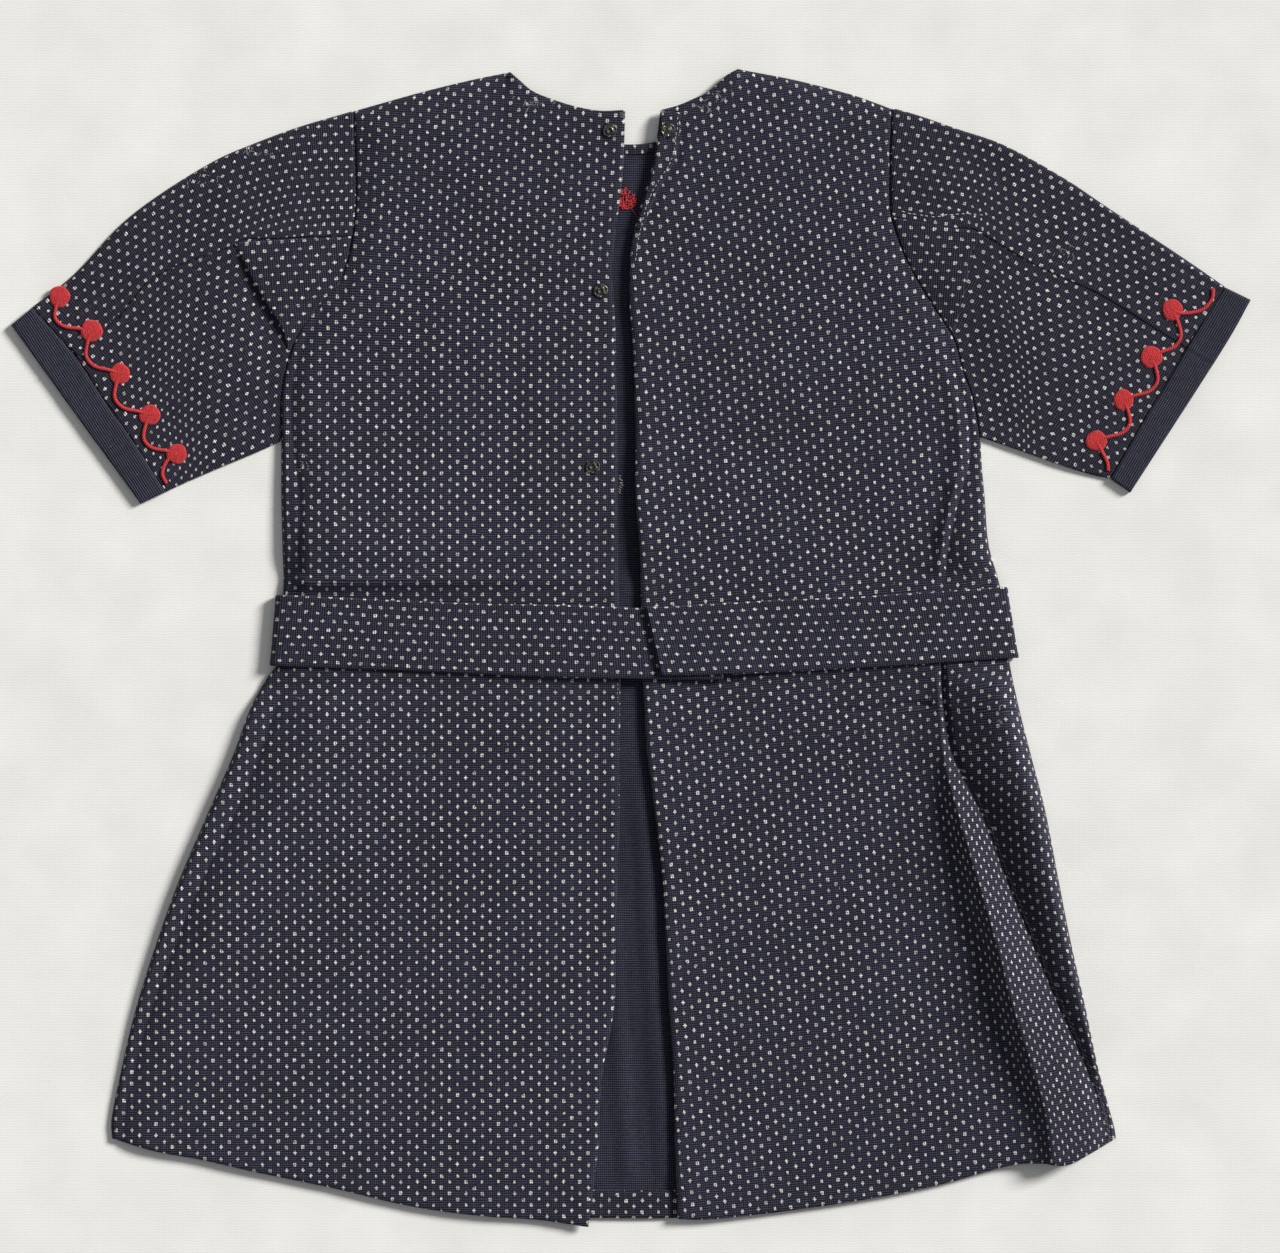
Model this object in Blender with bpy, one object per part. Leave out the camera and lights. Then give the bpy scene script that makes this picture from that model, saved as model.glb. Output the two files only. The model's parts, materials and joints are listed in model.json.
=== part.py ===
"""Child's belted smock dress, laid flat on its front, seen from the back.

All tables are in millimetres: x to the right, y towards the neck, z up from the
surface that the dress lies on. The finished objects are in metres.
"""
import math

import bpy
import bmesh
from mathutils import Vector

MM = 0.001

# ---- driving dimensions, millimetres -------------------------------------------
CLOTH = 1.2            # thickness of one wall of cloth
GAP = 0.3              # what two touching pieces keep between them
BACK_REST = 3.0        # height of the backs' underside where they lie on the front
SEAM_BAND = 15.0       # strip along a seam in which the back comes down to the front
BELT_CLOTH = 1.6       # the belt is doubled cloth
BELT_RAMP = 12.0       # length of the slope where a panel climbs over the belt
BELT_MARGIN = 2.0      # the climb is over this far before the belt's edge
CINCH = 26.0           # folds die out this far above and below the belt
FRONT_INSET = 1.0      # the front's side edges lie this far inside the backs'
NECK_TURNING = 4.8     # turned-in strip along the front's neck
HEM_TURNING = 15.0     # turned-up strip along the front's hem
HEM_TURNING_ENDS = (-264.0, 246.0)
HEM_TURNING_STEPS = 26
CUFF_WALL = 1.5        # thickness of the turned-up cuff's wall
CUFF_TOP = 3.9         # height of the cuff's upper face
SLEEVE_TOP = 3.0       # height of the sleeve's upper face beside the cuff
SLEEVE_PUFF = 2.0      # how much higher the sleeve stands in its middle
PUFF_END = 0.76        # beyond this share of its length it lies flat
DOT_RADIUS = 6.2       # embroidered dots
STEM_WIDTH = 2.2       # embroidered stems
STUD_RADIUS = 4.0      # press studs

# ---- where the grid's rows lie --------------------------------------------------
ARMPIT_Y = 118.0
YOKE_ROWS = 12         # shoulder to armpit
WAIST_ROWS = 5         # armpit to the slope above the belt
BELT_ROWS = 2          # across the belt
SKIRT_ROWS = 14        # below the belt to the hem

# ---- the two backs --------------------------------------------------------------
# One row for each section across a back. edge, fold and side are x at that height.
# flute is the width of the raised band beside the fold; lift is how high the fold
# stands; gape is how high the centre edge stands.
BACK_COLUMNS = ("y", "edge", "fold", "side", "flute", "lift", "gape")
RIGHT_BACK = [
    (302.0, 16.9, 140.0, 146.8, 8.0, 0.0, 0.4),
    (272.0, 12.6, 139.0, 145.6, 8.0, 0.0, 0.6),
    (245.0, 4.8, 140.0, 146.2, 8.0, 0.0, 0.8),
    (226.0, 0.5, 145.5, 151.8, 8.0, 0.0, 1.2),
    (208.0, -0.6, 154.5, 160.8, 8.0, 0.0, 2.0),
    (192.0, -0.5, 164.0, 170.4, 8.0, 0.0, 2.6),
    (174.0, 1.1, 176.0, 181.6, 8.0, 0.3, 3.0),
    (158.0, 1.9, 181.0, 186.1, 8.0, 0.8, 3.0),
    (140.0, 2.3, 187.0, 192.3, 8.0, 1.6, 2.8),
    (121.0, 2.8, 190.5, 195.7, 8.0, 2.6, 2.4),
    (103.0, 2.8, 190.0, 196.8, 8.0, 3.4, 2.2),
    (84.0, 2.8, 184.5, 198.5, 8.0, 4.0, 1.8),
    (58.0, 5.0, 178.5, 200.7, 8.0, 4.2, 1.4),
    (34.0, 5.6, 176.0, 207.0, 8.0, 4.0, 1.2),
    (-6.0, 6.4, 174.0, 212.0, 8.0, 4.0, 1.2),
    (-33.0, 7.6, 175.0, 217.6, 8.0, 4.6, 1.4),
    (-60.0, 9.4, 181.5, 224.4, 8.0, 5.2, 1.4),
    (-91.0, 13.4, 198.0, 232.4, 9.0, 5.8, 1.2),
    (-131.0, 18.2, 213.0, 240.1, 13.0, 6.4, 1.0),
    (-164.0, 19.8, 226.0, 246.6, 17.0, 6.8, 1.0),
    (-200.0, 21.4, 240.5, 254.6, 21.0, 6.6, 1.0),
    (-236.0, 24.0, 256.0, 262.2, 27.0, 5.6, 0.8),
    (-258.0, 24.5, 263.5, 268.2, 31.0, 4.2, 0.6),
    (-275.5, 24.8, 267.0, 272.2, 32.0, 3.0, 0.6),
    (-321.0, 26.4, 268.0, 272.2, 32.0, 3.0, 0.6),
]
LEFT_BACK = [
    (302.0, -3.6, -149.0, -155.8, 8.0, 0.0, 0.0),
    (272.0, -4.6, -148.5, -154.8, 8.0, 0.0, 0.0),
    (250.0, -6.8, -148.5, -154.6, 8.0, 0.0, 0.0),
    (227.0, -9.8, -151.0, -157.4, 8.0, 0.0, 0.0),
    (208.0, -10.8, -157.0, -163.1, 8.0, 0.4, 0.0),
    (195.0, -10.1, -167.0, -173.8, 8.0, 1.0, 0.0),
    (180.5, -9.2, -179.0, -185.0, 8.0, 1.4, 0.0),
    (165.0, -8.8, -186.0, -191.7, 8.0, 1.6, 0.0),
    (144.0, -8.4, -190.5, -196.2, 8.0, 1.8, 0.0),
    (116.0, -8.2, -190.0, -196.2, 8.0, 2.2, 0.0),
    (84.0, -7.9, -186.0, -196.2, 8.0, 2.8, 0.0),
    (58.0, -7.6, -185.8, -195.6, 8.0, 3.2, 0.0),
    (32.0, -7.3, -185.6, -195.0, 8.0, 3.2, 0.0),
    (-9.0, -6.3, -190.0, -198.2, 8.0, 3.2, 0.0),
    (-16.0, -6.2, -192.5, -203.6, 8.0, 3.4, 0.0),
    (-33.0, -6.3, -199.8, -213.1, 8.0, 3.8, 0.0),
    (-60.0, -6.5, -209.0, -223.2, 9.0, 4.2, 0.0),
    (-95.0, -6.8, -223.5, -238.4, 10.0, 4.4, 0.0),
    (-132.0, -8.1, -242.0, -254.2, 12.0, 4.4, 0.0),
    (-168.0, -9.0, -256.5, -267.1, 14.0, 3.8, 0.0),
    (-204.0, -10.1, -270.0, -278.3, 16.0, 2.6, 0.0),
    (-240.0, -16.6, -280.0, -286.8, 16.0, 1.6, 0.0),
    (-266.0, -18.0, -285.5, -291.8, 16.0, 1.0, 0.2),
    (-275.5, -18.2, -285.5, -291.4, 16.0, 1.0, 0.4),
    (-311.0, -22.4, -285.5, -290.7, 16.0, 1.0, 0.4),
    (-325.0, -24.2, -285.5, -290.7, 16.0, 1.0, 0.4),
]
# How the cloth's lift spreads from a fold towards the centre: distance in flute
# widths, share of the fold's lift.
FOLD_SPREAD = [(0.0, 1.0), (1.0, 0.86), (1.9, 0.30), (3.6, 0.42), (8.0, 0.0)]
FOLD_DROP = 2.5        # the fold falls to the layer beneath within this width

# ---- edges that run across, x and y ----------------------------------------------
RIGHT_NECK = [(16.9, 302.0), (25.3, 304.2), (34.9, 308.1), (43.9, 312.6), (49.5, 317.4),
              (54.5, 322.0), (60.2, 325.0)]
RIGHT_SHOULDER = [(60.2, 325.0), (90.0, 319.4), (108.5, 314.9), (125.0, 310.4), (137.8, 305.9),
                  (146.8, 302.5)]
LEFT_NECK = [(-68.0, 323.3), (-63.5, 319.4), (-55.7, 312.8), (-44.4, 308.1), (-30.9, 303.9),
             (-17.4, 301.6), (-3.6, 302.0)]
LEFT_SHOULDER = [(-155.8, 301.4), (-140.0, 305.9), (-115.8, 312.6), (-89.4, 319.0), (-68.0, 323.3)]
LEFT_HEM = [(-290.7, -275.5), (-268.2, -282.3), (-241.2, -287.3), (-214.2, -293.5),
            (-187.2, -299.1), (-160.3, -304.8), (-133.3, -311.4), (-106.3, -316.2),
            (-79.3, -319.2), (-52.3, -321.0), (-24.2, -325.0)]
RIGHT_HEM = [(26.4, -320.5), (42.2, -320.9), (69.2, -318.3), (96.2, -314.9), (123.1, -311.0),
             (150.1, -306.2), (177.1, -300.3), (204.1, -292.6), (217.6, -289.8), (231.1, -289.2),
             (244.6, -290.0), (258.1, -283.4), (272.2, -275.5)]
FRONT_NECK = [(-68.0, 323.3), (-62.0, 308.0), (-49.0, 295.0), (-28.0, 286.2), (-3.4, 282.8),
              (14.6, 284.4), (36.0, 291.5), (52.0, 306.0), (60.2, 325.0)]
FRONT_HEM = [(-290.7, -275.5), (-241.2, -286.3), (-187.2, -298.1), (-133.3, -310.4),
             (-79.3, -317.2), (-24.2, -319.8), (26.4, -319.9), (96.2, -313.9), (150.1, -305.2),
             (204.1, -291.8), (244.6, -285.0), (272.2, -275.5)]

# ---- the belt ---------------------------------------------------------------------
# Upper and lower edge of each stretch across the back, x and y.
BELT_LEFT_UPPER = [(-195.9, 29.8), (-96.2, 25.3), (-39.9, 24.2), (6.7, 22.4), (48.0, 21.5)]
BELT_LEFT_LOWER = [(-199.2, -10.1), (-96.2, -14.1), (-39.9, -16.6), (20.0, -17.6), (52.0, -17.8)]
BELT_RIGHT_UPPER = [(7.9, 23.1), (24.7, 23.6), (72.5, 26.4), (140.0, 29.6), (207.8, 34.3)]
BELT_RIGHT_LOWER = [(16.6, -15.4), (24.7, -15.5), (72.5, -14.1), (140.0, -10.6), (214.4, -5.6)]
BELT_STEPS = 12        # stretches of belt along each half
TURN_STEPS = 5         # facets round each side

# ---- the sleeves --------------------------------------------------------------------
LEFT_SLEEVE_UPPER = [(-156.1, 301.6), (-187.2, 292.4), (-214.2, 282.3), (-234.5, 273.3),
                     (-263.7, 255.3), (-286.8, 237.3), (-312.1, 210.3), (-336.3, 191.2)]
LEFT_SLEEVE_LOWER = [(-196.5, 116.4), (-208.6, 110.8), (-228.9, 102.3), (-249.7, 93.3),
                     (-261.5, 87.7)]
LEFT_CUFF_INNER = [(-336.3, 191.2), (-313.8, 165.9), (-296.9, 140.6), (-280.0, 116.6),
                   (-261.5, 87.7)]
LEFT_CUFF_OUTER = [(-348.35, 181.6), (-312.0, 131.0), (-275.5, 81.0)]
RIGHT_SLEEVE_UPPER = [(147.1, 303.2), (161.4, 299.1), (183.9, 291.3), (209.7, 282.3),
                      (242.4, 264.3), (269.3, 246.3), (309.8, 219.3), (333.4, 203.0)]
RIGHT_SLEEVE_LOWER = [(196.0, 121.5), (222.1, 111.3), (245.2, 102.3), (269.3, 95.0)]
RIGHT_CUFF_INNER = [(333.4, 203.0), (313.8, 171.5), (302.0, 151.0), (287.9, 127.8),
                    (269.3, 95.0)]
RIGHT_CUFF_OUTER = [(348.35, 195.7), (331.6, 166.4), (280.6, 87.3)]
SLEEVE_STATIONS = 8
CREASE_COLUMN = 4      # the long crease runs along this column of the sleeve
CREASE_HEIGHT = 1.1

# ---- embroidery on the sleeves ---------------------------------------------------------
LEFT_DOTS = [(-321.1, 197.4), (-303.1, 178.2), (-287.3, 154.1), (-270.5, 131.0), (-255.3, 109.1)]
RIGHT_DOTS = [(304.2, 190.1), (292.4, 163.6), (276.7, 139.5), (261.5, 116.4)]
# A stem leaves one dot, swings out to the cuff and back to the next dot. Each point is
# (along, out): a share of the way to the next dot, and millimetres towards the cuff.
STEM_SWING = [(0.10, 4.0), (0.34, 10.2), (0.60, 9.6), (0.82, 4.0)]
STEM_STEPS = 8
LEFT_LAST_STEM = [(-260.9, 105.2), (-263.4, 98.0), (-261.0, 92.4)]
RIGHT_LAST_STEM = [(264.8, 110.2), (267.6, 104.5), (268.2, 99.4)]
RIGHT_FIRST_STEM = [(310.0, 188.0), (320.5, 189.9), (326.4, 196.1), (327.2, 202.4)]

# ---- press studs and the corner that is turned outwards -------------------------------
LEFT_STUDS = [(-11.8, 290.7), (-16.9, 200.7), (-21.4, 101.8)]
CORNER_STUD = (20.9, 290.9)
HIDDEN_STUDS = [(7.6, 200.7), (9.6, 101.8)]
TURNED_CORNER = [(300.4, 17.7, 27.6), (290.0, 16.2, 26.9), (274.0, 13.8, 24.0),
                 (262.0, 11.0, 17.2), (248.0, 6.8, 11.0), (236.0, 3.4, 6.4)]
FRONT_DOT = (-1.6, 251.9)
STUD_SIDES = 14

MATERIALS = {
    "cloth": ((0.030, 0.031, 0.058), 0.85, 0.0),
    "cloth_reverse": ((0.018, 0.024, 0.048), 0.85, 0.0),
    "embroidery": ((0.55, 0.02, 0.025), 0.70, 0.0),
    "stud": ((0.03, 0.032, 0.034), 0.45, 0.8),
}


# ---- numbers and curves ----------------------------------------------------------------
def smooth(t):
    """0 below 0, 1 above 1, with a soft start and end."""
    t = min(max(t, 0.0), 1.0)
    return t * t * (3.0 - 2.0 * t)


def along(rows, at, column=1):
    """The value of a table's column at a place, on a smooth curve through its rows."""
    rows = sorted((row[0], row[column]) for row in rows)
    at = min(max(at, rows[0][0]), rows[-1][0])
    k = 0
    while k < len(rows) - 2 and rows[k + 1][0] < at:
        k += 1
    (x0, y0), (x1, y1) = rows[k], rows[k + 1]
    before = rows[k - 1] if k > 0 else rows[k]
    after = rows[k + 2] if k + 2 < len(rows) else rows[k + 1]
    slope0 = (y1 - before[1]) / (x1 - before[0])
    slope1 = (after[1] - y0) / (after[0] - x0)
    step = x1 - x0
    t = (at - x0) / step
    return ((2 * t ** 3 - 3 * t ** 2 + 1) * y0 + (t ** 3 - 2 * t ** 2 + t) * step * slope0
            + (3 * t ** 2 - 2 * t ** 3) * y1 + (t ** 3 - t ** 2) * step * slope1)


def straight(rows, at):
    """The value at a place on straight lines through a table's rows."""
    for (x0, y0), (x1, y1) in zip(rows, rows[1:]):
        if at <= x1:
            return y0 + (y1 - y0) * max(0.0, (at - x0) / (x1 - x0))
    return rows[-1][1]


def curve(points, count):
    """count + 1 points, evenly spaced along a smooth curve through the given ones."""
    points = [Vector(p) for p in points]
    padded = [2 * points[0] - points[1]] + points + [2 * points[-1] - points[-2]]
    dense = []
    for p0, p1, p2, p3 in zip(padded, padded[1:], padded[2:], padded[3:]):
        for step in range(16):
            t = step / 16
            dense.append(0.5 * (2 * p1 + (p2 - p0) * t + (2 * p0 - 5 * p1 + 4 * p2 - p3) * t * t
                                + (3 * p1 - p0 - 3 * p2 + p3) * t ** 3))
    dense.append(points[-1])
    lengths = [0.0]
    for a, b in zip(dense, dense[1:]):
        lengths.append(lengths[-1] + (b - a).length)
    result, k = [], 0
    for i in range(count + 1):
        wanted = lengths[-1] * i / count
        while k < len(dense) - 2 and lengths[k + 1] < wanted:
            k += 1
        share = (wanted - lengths[k]) / max(lengths[k + 1] - lengths[k], 1e-9)
        result.append(dense[k].lerp(dense[k + 1], min(max(share, 0.0), 1.0)))
    return result


def coons(north, south, west, east):
    """Rows of plan points inside four edges: north to south, each row west to east."""
    rows = []
    last_row, last = len(west) - 1, len(north) - 1
    for j in range(last_row + 1):
        v = j / last_row
        row = []
        for i in range(last + 1):
            u = i / last
            corners = ((1 - u) * (1 - v) * north[0] + u * (1 - v) * north[-1]
                       + (1 - u) * v * south[0] + u * v * south[-1])
            row.append((1 - v) * north[i] + v * south[i] + (1 - u) * west[j] + u * east[j] - corners)
        rows.append(row)
    return rows


# ---- meshes --------------------------------------------------------------------------------
def make_material(slot):
    colour, roughness, metallic = MATERIALS[slot]
    material = bpy.data.materials.new(slot)
    material.use_nodes = True
    shader = material.node_tree.nodes["Principled BSDF"]
    shader.inputs["Base Color"].default_value = (*colour, 1.0)
    shader.inputs["Roughness"].default_value = roughness
    shader.inputs["Metallic"].default_value = metallic
    return material


def make_object(name, bm, slot):
    """Turn a mesh given in millimetres into a named object in metres."""
    bmesh.ops.scale(bm, vec=(MM, MM, MM), verts=bm.verts)
    bmesh.ops.recalc_face_normals(bm, faces=bm.faces)
    mesh = bpy.data.meshes.new(name)
    bm.to_mesh(mesh)
    bm.free()
    mesh.materials.append(make_material(slot))
    mesh.shade_smooth()
    mesh.set_sharp_from_angle(angle=math.radians(40))
    obj = bpy.data.objects.new(name, mesh)
    bpy.context.collection.objects.link(obj)
    return obj


def wall(name, rows, under, slot, thickness=CLOTH):
    """A sheet of cloth: rows of plan points, the height of its underside, its thickness."""
    bm = bmesh.new()
    low, high = [], []
    for row in rows:
        heights = [under(p.x, p.y) for p in row]
        low.append([bm.verts.new((p.x, p.y, z)) for p, z in zip(row, heights)])
        high.append([bm.verts.new((p.x, p.y, z + thickness)) for p, z in zip(row, heights)])
    for j in range(len(rows) - 1):
        for i in range(len(rows[0]) - 1):
            for grid in (low, high):
                bm.faces.new((grid[j][i], grid[j][i + 1], grid[j + 1][i + 1], grid[j + 1][i]))
    rim = [(0, i) for i in range(len(rows[0]))]
    rim += [(j, len(rows[0]) - 1) for j in range(1, len(rows))]
    rim += [(len(rows) - 1, i) for i in reversed(range(len(rows[0]) - 1))]
    rim += [(j, 0) for j in reversed(range(1, len(rows) - 1))]
    for (j0, i0), (j1, i1) in zip(rim, rim[1:] + rim[:1]):
        bm.faces.new((low[j0][i0], low[j1][i1], high[j1][i1], high[j0][i0]))
    return make_object(name, bm, slot)


def tube(name, outer_rings, inner_rings, slot):
    """A wall between an outer and an inner set of rings, open at both ends."""
    bm = bmesh.new()
    outer = [[bm.verts.new(p) for p in ring] for ring in outer_rings]
    inner = [[bm.verts.new(p) for p in ring] for ring in inner_rings]
    count = len(outer[0])
    for rings in (outer, inner):
        for a, b in zip(rings, rings[1:]):
            for i in range(count):
                k = (i + 1) % count
                bm.faces.new((a[i], a[k], b[k], b[i]))
    for end in (0, -1):
        for i in range(count):
            k = (i + 1) % count
            bm.faces.new((outer[end][i], outer[end][k], inner[end][k], inner[end][i]))
    return make_object(name, bm, slot)


def turned(name, profile, centre, base, slot, facing=1):
    """A round piece: (radius, height) points from the rim's foot to the middle of the top."""
    bm = bmesh.new()
    rings = []
    for radius, height in profile[:-1]:
        ring = []
        for k in range(STUD_SIDES):
            turn = 2 * math.pi * k / STUD_SIDES
            x = centre[0] + radius * math.cos(turn)
            y = centre[1] + radius * math.sin(turn)
            ring.append(bm.verts.new((x, y, base + facing * height)))
        rings.append(ring)
    top = bm.verts.new((centre[0], centre[1], base + facing * profile[-1][1]))
    bm.faces.new(rings[0])
    for a, b in zip(rings, rings[1:]):
        for i in range(STUD_SIDES):
            k = (i + 1) % STUD_SIDES
            bm.faces.new((a[i], a[k], b[k], b[i]))
    for i in range(STUD_SIDES):
        bm.faces.new((rings[-1][i], rings[-1][(i + 1) % STUD_SIDES], top))
    return make_object(name, bm, slot)


# ---- heights -----------------------------------------------------------------------------------
def belt_lines(x):
    """y of the upper and lower edge of the belt where it runs under the front."""
    left_upper, left_lower = BELT_LEFT_UPPER[0], BELT_LEFT_LOWER[0]
    right_upper, right_lower = BELT_RIGHT_UPPER[-1], BELT_RIGHT_LOWER[-1]
    t = (x - left_upper[0]) / (right_upper[0] - left_upper[0])
    return (left_upper[1] + t * (right_upper[1] - left_upper[1]),
            left_lower[1] + t * (right_lower[1] - left_lower[1]))


def over_belt(x, y):
    """How much the belt beneath lifts a panel."""
    upper, lower = belt_lines(x)
    outside = max(y - upper, lower - y) - BELT_MARGIN
    return (BELT_CLOTH + GAP) * min(max(1.0 - outside / BELT_RAMP, 0.0), 1.0)


def loose(x, y):
    """0 where the belt holds the folds flat, 1 well away from it."""
    upper, lower = belt_lines(x)
    outside = max(y - upper, lower - y) - 2 * BELT_MARGIN - 8.0
    return smooth(outside / CINCH)


def front_under(x, y):
    return over_belt(x, y)


def column(table, y, name):
    return along(table, y, BACK_COLUMNS.index(name))


def back_under(table, neck, shoulder):
    """The height of a back's underside, as a function of x and y."""
    hand = 1.0 if table[0][3] > 0 else -1.0

    def height(x, y):
        to_side = hand * (column(table, y, "side") - x)
        past_neck = hand * (x - (neck[-1][0] if hand > 0 else neck[0][0]))
        to_shoulder = along(shoulder, x) - y if past_neck > 0 else SEAM_BAND
        inside = smooth(min(to_side, to_shoulder) / SEAM_BAND)
        seam = CLOTH + GAP
        base = seam + (BACK_REST - seam) * inside + over_belt(x, y)
        away = hand * (column(table, y, "fold") - x)
        lift = column(table, y, "lift")
        if away < 0:
            share = 1.0 + away / FOLD_DROP
        else:
            share = straight(FOLD_SPREAD, away / column(table, y, "flute"))
        fold = lift * max(share, 0.0)
        gape = column(table, y, "gape") * (1 - smooth(hand * (x - column(table, y, "edge")) / 30))
        return base + (fold + gape) * loose(x, y)
    return height


right_under = back_under(RIGHT_BACK, RIGHT_NECK, RIGHT_SHOULDER)
left_under = back_under(LEFT_BACK, LEFT_NECK, LEFT_SHOULDER)


# ---- panels --------------------------------------------------------------------------------------
def row_levels(x, top, hem):
    """y of every row of the grid at one rail, from the top down to the hem."""
    upper, lower = belt_lines(x)
    stops = [(top, 1), (ARMPIT_Y, YOKE_ROWS), (upper + BELT_MARGIN + BELT_RAMP, WAIST_ROWS),
             (upper + BELT_MARGIN, 1), (lower - BELT_MARGIN, BELT_ROWS),
             (lower - BELT_MARGIN - BELT_RAMP, 1), (hem, SKIRT_ROWS)]
    levels = [top]
    for (start, _), (end, count) in zip(stops, stops[1:]):
        levels += [start + (end - start) * k / count for k in range(1, count + 1)]
    return levels


def rail(x_at, top_edge, hem_edge):
    """Points down one line of the cloth: x_at(y) gives its place at each height."""
    top = along(top_edge, x_at(top_edge[0][1]))
    hem = hem_edge[0][1]
    for _ in range(6):
        hem = along(hem_edge, x_at(hem))
    middle = x_at(0.0)
    return [Vector((x_at(y), y)) for y in row_levels(middle, top, hem)]


def strips(rails, counts, top_edges, hem_edge):
    """Fill the cloth between neighbouring rails with rows of points."""
    rows = [[point] for point in rails[0]]
    last = len(rows) - 1
    stops = [0, YOKE_ROWS, last - SKIRT_ROWS, last]
    for west, east, count, top_edge in zip(rails, rails[1:], counts, top_edges):
        across = []
        for j in stops:
            across.append([west[j].lerp(east[j], i / count) for i in range(count + 1)])
        for edge, line in ((top_edge, across[0]), (hem_edge, across[-1])):
            for p in line[1:-1]:
                p.y = along(edge, p.x)
        for start, end, north, south in zip(stops, stops[1:], across, across[1:]):
            grid = coons(north, south, west[start:end + 1], east[start:end + 1])
            for j in range(start if start == 0 else start + 1, end + 1):
                rows[j].extend(grid[j - start][1:])
    return rows


def back_rows(table, neck, shoulder, hem):
    hand = 1.0 if table[0][3] > 0 else -1.0
    neck_x = neck[-1][0] if hand > 0 else neck[0][0]
    hem_x = hand * 86.0

    def edge_x(y):
        return column(table, y, "edge")

    def neck_line(y):
        return neck_x + (hem_x - neck_x) * smooth((300.0 - y) / 600.0)

    def beside_fold(flutes):
        return lambda y: column(table, y, "fold") - hand * flutes * column(table, y, "flute")

    def under_fold(y):
        return column(table, y, "fold") + hand * FOLD_DROP

    def side_x(y):
        return column(table, y, "side")

    rails = [rail(edge_x, neck, hem), rail(neck_line, neck, hem)]
    for place in (beside_fold(3.6), beside_fold(1.9), beside_fold(1.0), beside_fold(0.0), under_fold,
                  side_x):
        rails.append(rail(place, shoulder, hem))
    counts = [5, 4, 1, 1, 2, 1, 1]
    return strips(rails, counts, [neck] + [shoulder] * 6, hem)


def make_backs():
    rows = back_rows(RIGHT_BACK, RIGHT_NECK, RIGHT_SHOULDER, RIGHT_HEM)
    wall("back_right", rows, right_under, "cloth")
    rows = back_rows(LEFT_BACK, LEFT_NECK, LEFT_SHOULDER, LEFT_HEM)
    wall("back_left", rows, left_under, "cloth")


def make_front():
    """The front lies under both backs, a little inside their side edges."""
    def left_x(y):
        return column(LEFT_BACK, y, "side") + FRONT_INSET

    def right_x(y):
        return column(RIGHT_BACK, y, "side") - FRONT_INSET

    def left_neck_line(y):
        return LEFT_SHOULDER[-1][0]

    def right_neck_line(y):
        return RIGHT_SHOULDER[0][0]

    rails = [rail(left_x, LEFT_SHOULDER, FRONT_HEM), rail(left_neck_line, LEFT_SHOULDER, FRONT_HEM),
             rail(right_neck_line, RIGHT_SHOULDER, FRONT_HEM),
             rail(right_x, RIGHT_SHOULDER, FRONT_HEM)]
    tops = [LEFT_SHOULDER, FRONT_NECK, RIGHT_SHOULDER]
    wall("front", strips(rails, [5, 10, 5], tops, FRONT_HEM), front_under, "cloth_reverse")


def make_front_turnings():
    """The strips that the front's neck and hem are turned in by."""
    inner = CLOTH + GAP
    neck = curve(FRONT_NECK[1:-1], 20)
    rows = []
    for k, p in enumerate(neck):
        before, after = neck[max(k - 1, 0)], neck[min(k + 1, len(neck) - 1)]
        across = (after - before).normalized()
        down = Vector((across.y, -across.x))
        rows.append([p + down * 0.2, p + down * (NECK_TURNING + 0.2)])
    wall("front_neck_turning", rows, lambda x, y: inner, "cloth")
    rows = []
    left, right = HEM_TURNING_ENDS
    for k in range(HEM_TURNING_STEPS + 1):
        x = left + (right - left) * k / HEM_TURNING_STEPS
        y = along(FRONT_HEM, x)
        rows.append([Vector((x, y)), Vector((x * 0.99, y + HEM_TURNING))])
    wall("front_hem_turning", rows, lambda x, y: inner, "cloth")


def make_turned_corner():
    """The top corner of the right back's edge is turned outwards and lies on it."""
    rows = []
    for y, outer, inner in TURNED_CORNER:
        rows.append([Vector((outer + (inner - outer) * k / 3, y)) for k in range(4)])
    wall("back_right_turned_corner", rows, lambda x, y: right_under(x, y) + CLOTH + 2 * GAP, "cloth")


# ---- sleeves and cuffs --------------------------------------------------------------------------
def flat_ring(line, top, wall_thickness):
    """The outer and inner outline of a tube that is pressed flat, at one station."""
    middle = 0.5 * top[0]
    ends = (line[1] - line[0]).normalized(), (line[-1] - line[-2]).normalized()
    outer = [(line[0].x, line[0].y, middle)]
    inner_start = line[0] + ends[0] * wall_thickness
    inner = [(inner_start.x, inner_start.y, middle)]
    for p, z in zip(line[1:-1], top[1:-1]):
        outer.append((p.x, p.y, z))
        inner.append((p.x, p.y, z - wall_thickness))
    outer.append((line[-1].x, line[-1].y, middle))
    inner_end = line[-1] - ends[1] * wall_thickness
    inner.append((inner_end.x, inner_end.y, middle))
    for p in reversed(line[1:-1]):
        outer.append((p.x, p.y, 0.0))
        inner.append((p.x, p.y, wall_thickness))
    return outer, inner


def sleeve_height(u, v):
    """Height of the sleeve's upper face, u across from its upper edge, v towards the cuff."""
    flat = 2 * CLOTH + GAP
    full = math.sin(math.pi * min(v / PUFF_END, 1.0))
    crease_u = CREASE_COLUMN / YOKE_ROWS
    near = max(0.0, 1.0 - abs(u - crease_u) * YOKE_ROWS)
    relief = SLEEVE_PUFF * math.sin(math.pi * u) + CREASE_HEIGHT * near
    return flat + (SLEEVE_TOP - flat) * smooth(v / 0.3) + relief * full


def armhole(table, shoulder_tip):
    """Points down the armhole, at the heights of the panel's rows."""
    points = []
    for k in range(YOKE_ROWS + 1):
        y = shoulder_tip[1] + (ARMPIT_Y - shoulder_tip[1]) * k / YOKE_ROWS
        points.append(Vector((column(table, y, "side"), y)))
    return points


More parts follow.
